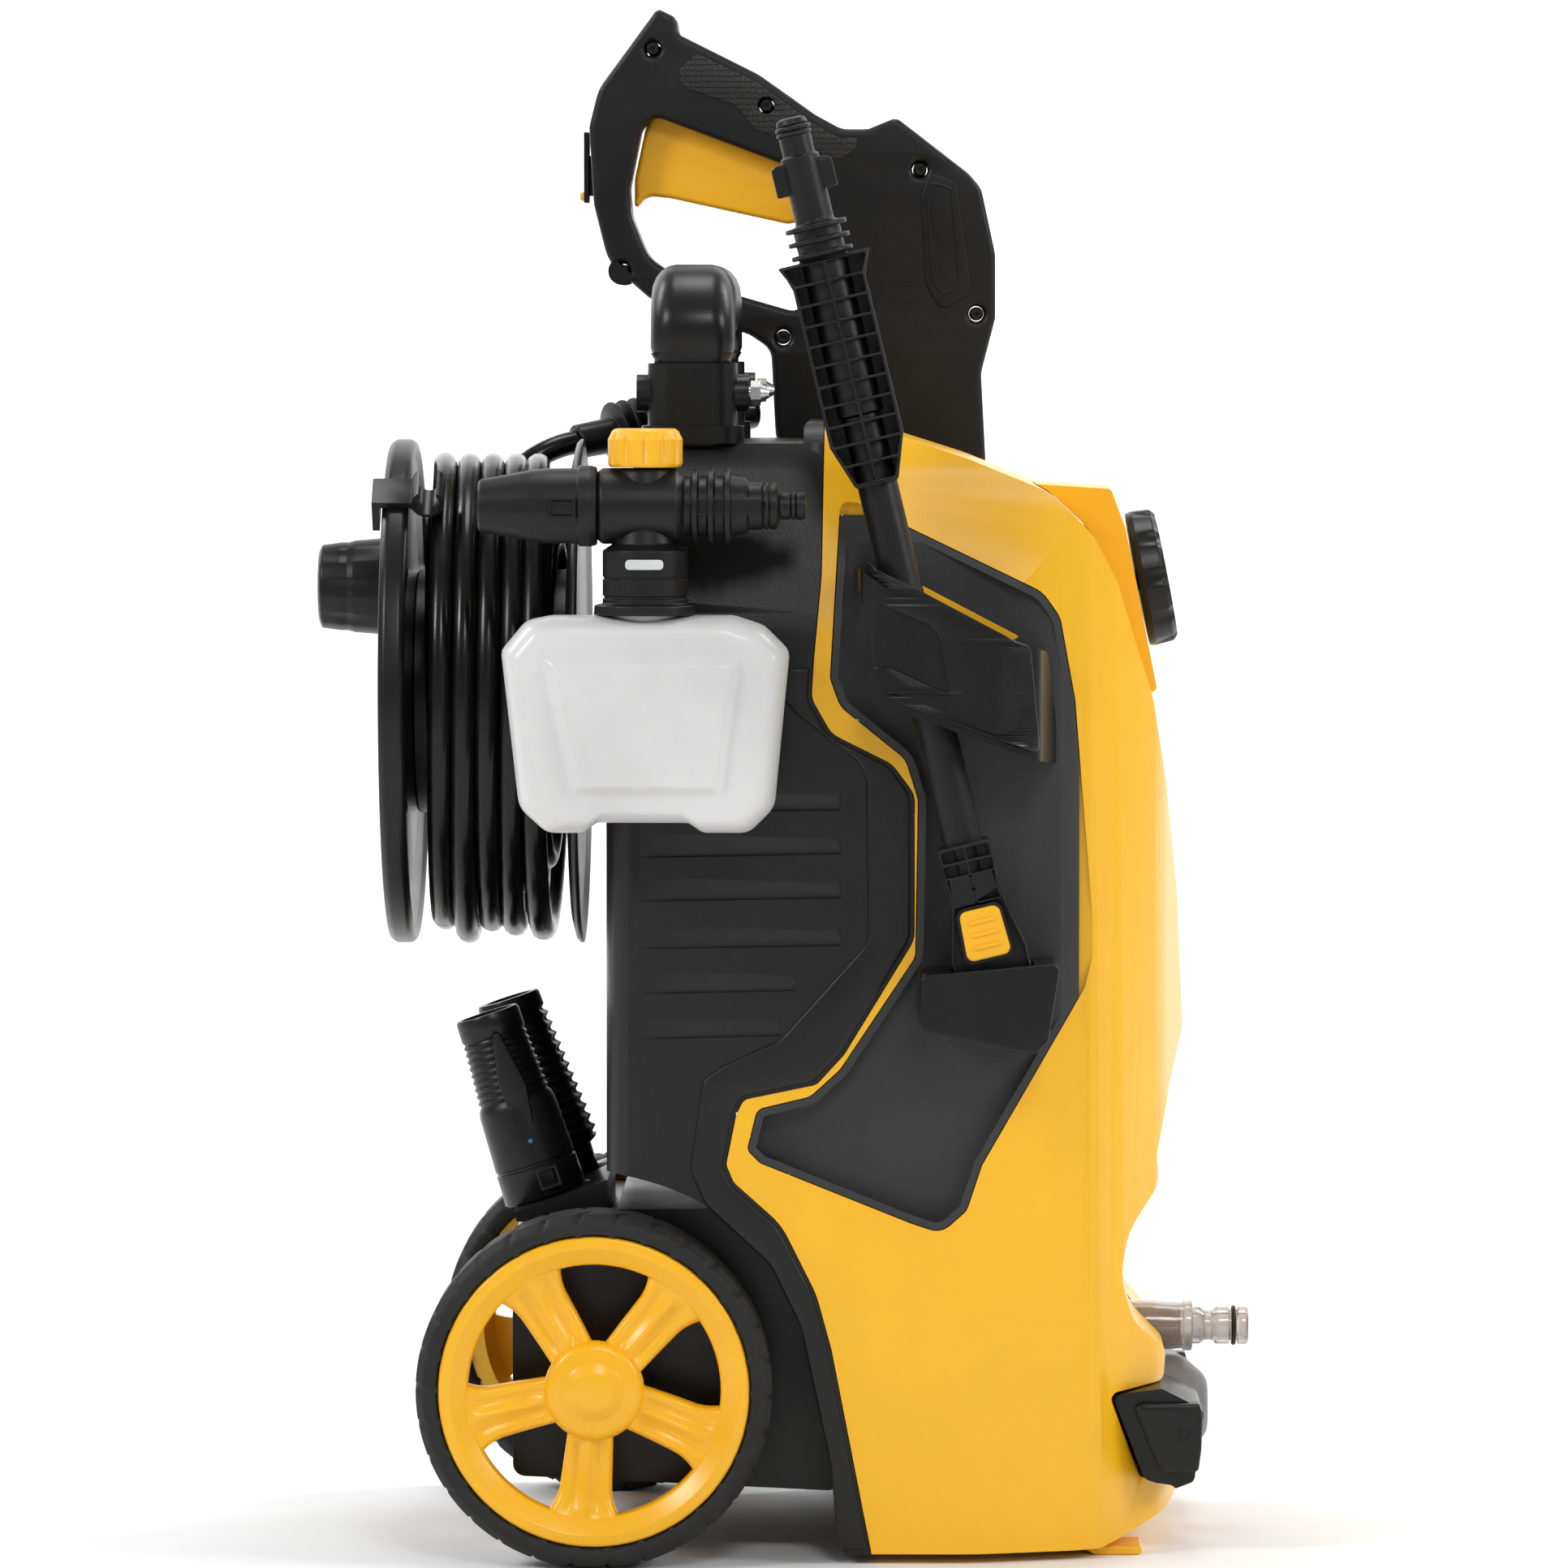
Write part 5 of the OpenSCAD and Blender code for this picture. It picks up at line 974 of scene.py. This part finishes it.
dosing = turned(eased([[0, 0, 0], [14, 0, 0.8], [14.8, 1.4, 0.8], [14.8, 11, 1.2], [13.2, 14.2, 1.2],
    [11.8, 15.2, 0.8], [0, 15.2, 0]]), (foam_x, foam_y, knob_z), (0, 0, 1), 144,
    lambda t, h: 1 - 0.075 * np.clip(np.cos(12 * t) * 2 - 0.9, 0, 1) * np.clip((h - 1.0) / 0.8, 0,
    1) * np.clip((12.4 - h) / 1.0, 0, 1))
piece("dosing_knob_scalloped", [dosing], "dosing_knob", "control_yellow", ["foam_knob"], angle=50)
print("foam bottle done")

# %% [markdown]
# ## The spare nozzles
# Both are turned shapes with grip rings. The variable nozzle has a smooth skirt with nine rings above
# it, and the turbo nozzle has deeper rings round its whole barrel.

# %% Turn the nozzles
nozzle_lean = math.radians(18)
nozzle_up = np.array([-math.sin(nozzle_lean), 0, math.cos(nozzle_lean)])

def nozzle_rings(r0, r1, z0, z1, count, deep):
    """Points of a ringed cone: the radius falls from r0 to r1, with count grooves of depth deep."""
    z = np.linspace(z0, z1, count * 6 + 1)
    r = np.interp(z, [z0, z1], [r0,
        r1]) - deep * (0.5 + 0.5 * np.cos(2 * math.pi * count * (z - z0) / (z1 - z0))) ** 0.7
    return np.c_[r, z]

seat_gap = 0.3
vario_at = np.array([-96.0, -48.0, 141.0]) + seat_gap * nozzle_up
turbo_at = np.array([-89.0, 6.0, 141.0]) + seat_gap * nozzle_up
vario_profile = np.vstack([[[5.3, 0], [16.2, 0], [17, 0.8], [16.8, 13], [16.2, 13.4], [16.2, 14.4],
    [16.7, 14.8], [15.9, 38], [15.2, 40.5]], nozzle_rings(15.0, 13.4, 42, 68, 9, 0.9),
    [[13.3, 69], [13.2, 76.6], [12.6, 77.8], [10.8, 77.8], [10.4, 72], [0, 72]]])
vario_bits = [turned(vario_profile, vario_at, nozzle_up, 72)]
vario_side = np.array([math.cos(nozzle_lean), 0, math.sin(nozzle_lean)])

def on_vario(a, t, b):
    """Across, outwards to the front, and up the nozzle."""
    return vario_at + a[..., None] * vario_side + t[..., None] * np.array([0, -1, 0]) + b[..., None] * nozzle_up

leaf = even(rounded([[-2.5, 30, 2], [5.5, 30, 2], [7.5, 46, 6], [3.5, 70, 2], [0.5, 70, 2], [-3.5, 50, 6]], 6),
    1.5)
vario_bits += plate([leaf], 11, 15.6, 0.8, place=on_vario, steps=2)
slot_frame = rectangle(0, 3, 9, 12, 0.6, 2)
slot_inner = rectangle(1.4, 4.4, 7.6, 10.6, 0.4, 2)
vario_bits += plate([slot_frame, slot_inner], 13.5, 17.1, 0.3, place=on_vario, steps=2)
piece("vario_nozzle_ringed", vario_bits, "vario", "trim_black", ["vario_nozzle"], angle=50)
blue = turned(eased([[0, 0.7, 0], [0.8, 0.7, 0.3], [1.1, 0, 0], [0, -1, 0]])[::-1],
    on_vario(np.array(2.0), np.array(16.4), np.array(24.0)), (0, -1, 0), 20)
piece("vario_blue_dot", [blue], "vario", "mark_blue")
turbo_profile = np.vstack([[[5.3, 0], [13.4, 0], [14, 0.6], [14, 13], [16.5, 14.5], [17.6, 16]],
    nozzle_rings(18.0, 13.9, 17, 72, 12, 1.9), [[13.4, 73.5], [13.2, 79], [12.6, 80], [9.4, 80], [9, 76],
    [0, 76]]])
piece("turbo_nozzle_ringed", [turned(turbo_profile, turbo_at, nozzle_up, 96,
    lambda t, h: 1 + 0.02 * np.cos(12 * t) * (h > 17) * (h < 73))], "turbo", "trim_black", ["turbo_nozzle"],
    angle=50)
print("nozzles done")

# %% [markdown]
# ## Knob, inlet and coupling
# The smaller fittings on the machine: a fluted on-off knob, a clear water inlet with its filter, and
# the finned hose coupling.

# %% Turn the on-off knob
knob_lean = math.radians(11)
knob_axis = np.array([math.cos(knob_lean), 0, math.sin(knob_lean)])
knob_at = np.array([144.3, 0, 390.0])
dial_low, dial_high = span("switch_knob")
dial_r = (dial_high[1] - dial_low[1]) / 2
dial_mesh = np.array([v.co[:] for v in frame["nodes"]["switch_knob"].data.vertices]) / MM
along_axis = (dial_mesh - knob_at) @ knob_axis
dial_from, dial_to = along_axis.min(), along_axis.max()
skirt = along_axis[np.linalg.norm((dial_mesh - knob_at) - along_axis[:, None] * knob_axis,
    axis=1) > dial_r - 3].min()
dial = turned(eased([[0, dial_from, 0], [4.6, dial_from, 0.2], [4.6, skirt, 0], [dial_r - 0.6, skirt, 0.8],
    [dial_r, skirt + 2.5, 1], [dial_r - 0.6, dial_to - 2, 1.5], [dial_r - 2.6, dial_to, 1.5],
    [dial_r - 7, dial_to, 1], [dial_r - 8, dial_to - 1.4, 0.8], [0, dial_to - 1.4, 0]]), knob_at, knob_axis,
    180, lambda t, h: 1 - 0.05 * np.clip(np.cos(10 * t) * 1.8 - 0.6, 0, 1) * np.clip((h - skirt - 3) / 1.5, 0,
    1))
pointer_side = np.cross(knob_axis, [0, 1, 0])

def on_dial(a, t, b):
    """Across the dial along Y, outwards along its axis, and up its face."""
    return knob_at + a[..., None] * np.array([0, 1, 0]) + t[..., None] * knob_axis + b[..., None] * pointer_side

grip = plate([rounded([[-4, -17, 3], [4, -17, 3], [3, 17, 3], [-3, 17, 3]], 4)], dial_to - 2, dial_to - 0.15,
    0.6, place=on_dial, steps=2)
piece("on_off_dial", [dial] + grip, "on_off_knob", "trim_black", ["switch_knob"], angle=40)
tick = plate([rectangle(-1, 5, 1, 15, 0.6, 3)], dial_to - 0.6, dial_to + 0.1, 0.1, place=on_dial, steps=1)
piece("on_off_mark", tick, "on_off_knob", "control_yellow")

# %% Turn the clear inlet
inlet_z = middle("inlet_bowl")[2]
bowl_low, bowl_high = span("inlet_bowl")
spig_low, spig_high = span("inlet_spigot")

def inlet(profile, n=56):
    """A closed ring shape on the inlet's axis along X."""
    return turned(eased(profile), (0, middle("inlet_bowl")[1], inlet_z), (1, 0, 0), n, wrap=True)

x0, x1 = bowl_low[0], bowl_high[0]
bowl = inlet([[10.4, x0, 0.4], [10.6, x0 + 10, 1], [9.6, x1 - 4, 1], [10.5, x1 - 3.6, 0.6], [10.5, x1, 0.8],
    [8.2, x1, 0.5], [8.2, x1 - 3, 0.5], [8.0, x1 - 6, 1], [8.6, x0, 0.3]])
piece("inlet_clear_bowl", [bowl], "machine", "clear_plastic", ["inlet_bowl"], angle=45)
s0, s1 = spig_low[0], spig_high[0]
spigot = inlet([[7.6, s0, 0.3], [7.75, s0 + 3, 0.5], [6.2, s0 + 5, 1], [6.2, s0 + 8, 1], [7.75, s0 + 10, 0.8],
    [7.75, s1 - 8, 0.4], [6.3, s1 - 7.6, 0.3], [6.3, s1 - 4.6, 0.3], [7.75, s1 - 4.2, 0.4], [7.75, s1 - 1, 0.8],
    [7, s1, 0.5], [5, s1, 0.6], [4.6, s1 - 3, 0.5], [4.6, s0, 0.2]])
piece("inlet_clear_spigot", [spigot], "machine", "clear_plastic", ["inlet_spigot"], angle=45)

# %% Turn the coupling's fins
gun_inlet = np.array([-5.0, 140.0, 461.0])
coupling_at = lead_route[0].astype(float)
run = gun_inlet - coupling_at
length = np.linalg.norm(run)
fins = [[3.2, 0.2, 0], [7.2, 0.2, 1], [7.6, 17, 1]]
for k in range(5):
    z = 18 + 5.4 * k
    fins += [[7.4, z, 0.4], [13.8, z + 0.5, 0.5], [13.9, z + 1.7, 0.5], [7.4, z + 2.4, 0.4]]
fins += [[8.8, 45, 1], [8.8, length - 12, 0.6], [3.2, length - 12, 0.2]]
piece("hose_coupling_finned", [turned(eased(fins), coupling_at, run, 48, wrap=True)], "machine", "trim_black",
    ["hose_coupling"], angle=40)

# %% [markdown]
# ## Strap, side lip and hub caps
# The strap bows out over the lance. Its face is a raised rim with two prongs, and the middle is
# pressed in, which makes it stiff. A raised lip runs down both side walls of the rear housing beside
# the yellow cover.

# %% Press the strap
strap_y = span("lance_strap")[0][1]
softened("lance_strap", "trim_black", 0.6)
bow_x = np.array([26.0, 33.0, 38.0, 44.0, 84.0, 90.0, 96.0, 102.0, 106.0, 108.0])
bow_y = np.array([17.0, 6.5, 1.2, 0.0, 0.0, 0.9, 4.2, 10.0, 20.0, 27.0])

def on_strap(a, t, b):
    """The strap's front surface: its depth is interpolated along X, and t stands out from it."""
    return np.stack([a, strap_y + np.interp(a, bow_x, bow_y) - t, b], -1)

rim = rounded([[34.2, 402.5, 1], [38, 398.4, 3], [53.3, 391.1, 6], [93.3, 369.9, 6], [99, 367.6, 3],
    [103, 325.2, 2], [87.6, 330.7, 6], [49.2, 344.6, 6], [34.5, 351.6, 2], [34, 359.8, 2.5], [43.5, 359.8, 2],
    [63.5, 350.4, 1], [66.6, 349.6, 0.8], [66.2, 353, 1], [62.6, 372.6, 4], [59, 376.4, 4], [39.5, 384.8, 3],
    [35.6, 388, 2], [34.0, 394, 2]], 5)
piece("strap_rim", plate([even(rim, 1.2)], -0.6, 1.3, 0.55, place=on_strap, steps=3), "machine", "trim_black")
slit = rounded([[54.5, 391.6, 0.4], [54, 388.5, 0.4], [92, 368.6, 0.4], [95, 370.4, 0.4]], 2)
pocket_y = -span("lance_pocket")[0][1] - 10
piece("pocket_slit", plate([slit], -0.5, 0.35, 0.1, place=lambda a, t, b: np.stack([a, -pocket_y - t, b], -1),
    steps=1), "machine", "cover_yellow")

# %% Raise the lip beside the yellow strip
lip = rounded([[-4, 352, 3], [6, 340, 8], [31, 321, 8], [34, 314, 8], [35, 249, 12], [0, 210, 8], [-22, 200, 8],
    [-31, 194, 5], [-36, 158, 8], [-30, 144, 12], [-4, 120, 20], [8, 95, 20], [20, 40, 10], [23, 6, 0],
    [34.6, 6, 0], [18.6, 86, 30], [12.6, 108, 40], [-1, 135, 30], [-20, 152, 6], [-23.4, 160, 4],
    [-19.4, 181, 3], [-16, 187.4, 4], [13, 193.4, 6], [24, 205, 10], [51.6, 250.4, 12], [51.6, 307.4, 10],
    [43.4, 318.8, 12], [19.4, 330.8, 10], [10.8, 345.4, 10], [11.6, 358, 0], [4, 358, 3]], 5)
lips = plate([even(lip, 1.8)], wall - 1, wall + 1.4, 1.1, steps=3)
lips += plate([even(lip, 1.8)], wall - 1, wall + 1.4, 1.1, place=far_side, steps=3)
piece("rear_side_lip", lips, "machine", "housing_black")

# %% Cover the axle ends
for hand in (-1, 1):
    name = "left" if hand < 0 else "right"
    c = middle("tyre_" + name)
    end = span("axle")[1][1] - abs(c[1])
    cap = turned(eased([[0, end + 0.4, 0], [6.15, end + 0.4, 0], [6.15, 12, 0], [12.5, 12, 0], [12.5, 14.4, 2],
        [7.5, end + 0.8, 6], [0, end + 1.6, 0]]), c, (0, hand, 0), 48)
    piece("hub_cap_" + name, [cap], "wheel_" + name, "wheel_yellow", angle=50)

# %% [markdown]
# ## Front bumper
# A black block takes the knocks at the foot of the front. Each cheek is a stepped pad with a small plug.

# %% Step the bumper's cheeks
cheek = rounded([[141.5, 60.6, 2.5], [145.4, 61.8, 2], [168.2, 61.9, 1.2], [169.2, 56, 3], [168.8, 43.6, 6],
    [167.6, 34.4, 1.5], [153.9, 34.4, 2.5], [151.2, 36.7, 2.5]], 4)
bumper_y = span("front_bumper")[1][1]
cheeks = []
for hand in (-1, 1):
    out = lambda a, t, b, hand=hand: np.stack([a, hand * t, b], -1)
    cheeks += plate([even(cheek, 1.2)], bumper_y - 6, bumper_y + 4.5, 1.6, place=out, steps=4)
    cheeks += plate([disc((161.5, 49.8), 2.6), disc((161.5, 49.8), 1.9)], bumper_y + 4.2, bumper_y + 5.1, 0.3,
        place=out, steps=2)
piece("bumper_cheeks", cheeks, "machine", "trim_black")
print("bumper done")

# %% Soften the outlet cap
softened("outlet_cap", None, 0.8)

# %% [markdown]
# ## Studio
# The floor is a pale sheet that curves up behind the machine. Four soft lights stand left, right, in
# front and above, so that dark plastics show their edges without hard shadows. Two more light the
# sheet behind.

# %% Floor and lights
def soft_light(name, place, aim, size, watts):
    """A square area light at place, turned to aim."""
    data = bpy.data.lights.new(name, "AREA")
    data.shape, data.size, data.energy = "SQUARE", size, watts
    lamp = bpy.data.objects.new(name, data)
    bpy.context.scene.collection.objects.link(lamp)
    lamp.location = place
    lamp.rotation_euler = (Vector(place) - Vector(aim)).to_track_quat("Z", "Y").to_euler()
    return lamp

# The sheet lies flat, curves up with a radius of 2 m, and stands straight behind.
bend, flat_to, bend_r = np.linspace(0.05, math.pi / 2, 20), 2.5, 2
run = np.r_[np.linspace(-7, flat_to, 12), flat_to + bend_r * np.sin(bend), flat_to + bend_r]
rise = np.r_[np.zeros(12), bend_r - bend_r * np.cos(bend), 5.0]
wide = np.linspace(-6, 6, 13)
P = np.stack([wide[None, :] + 0 * run[:, None], run[:, None] + 0 * wide[None, :],
    rise[:, None] + 0 * wide[None, :]], -1)
mesh = bpy.data.meshes.new("studio_floor")
mesh.from_pydata(P.reshape(-1, 3).tolist(), [], grid_quads(len(run), len(wide), False, False).tolist())
mesh.shade_smooth()
floor = bpy.data.objects.new("studio_floor", mesh)
bpy.context.scene.collection.objects.link(floor)
paper = Finish("studio_paper", (0.90, 0.90, 0.90), 0.85)
paper.link("Roughness", paper.noise(3, 2) * 0.1 + 0.8)
floor.data.materials.append(paper.material)

for light in (("key", (-2.2, -1.5, 1.9), (0, 0, 0.35), 0.7, 32),
    ("fill", (2.4, -1.0, 1.5), (0, 0, 0.3), 0.7, 20), ("front", (0.6, -3.2, 2.6), (0, 0, 0.3), 0.8, 30),
    ("top", (0.0, 0.3, 2.4), (0, 0, 0.3), 0.8, 13), ("wall_left", (-2.6, 1.6, 2.6), (-0.5, 4.2, 1.2), 1.6, 120),
    ("wall_right", (2.6, 1.6, 2.6), (0.5, 4.2, 1.2), 1.6, 120)):
    soft_light(*light)
world = bpy.data.worlds.new("studio_air")
world.use_nodes = True
world.node_tree.nodes["Background"].inputs["Color"].default_value = (1, 1, 1, 1)
world.node_tree.nodes["Background"].inputs["Strength"].default_value = 0.33
bpy.context.scene.world = world
bpy.context.scene.view_settings.view_transform = "Standard"
print("studio ready")
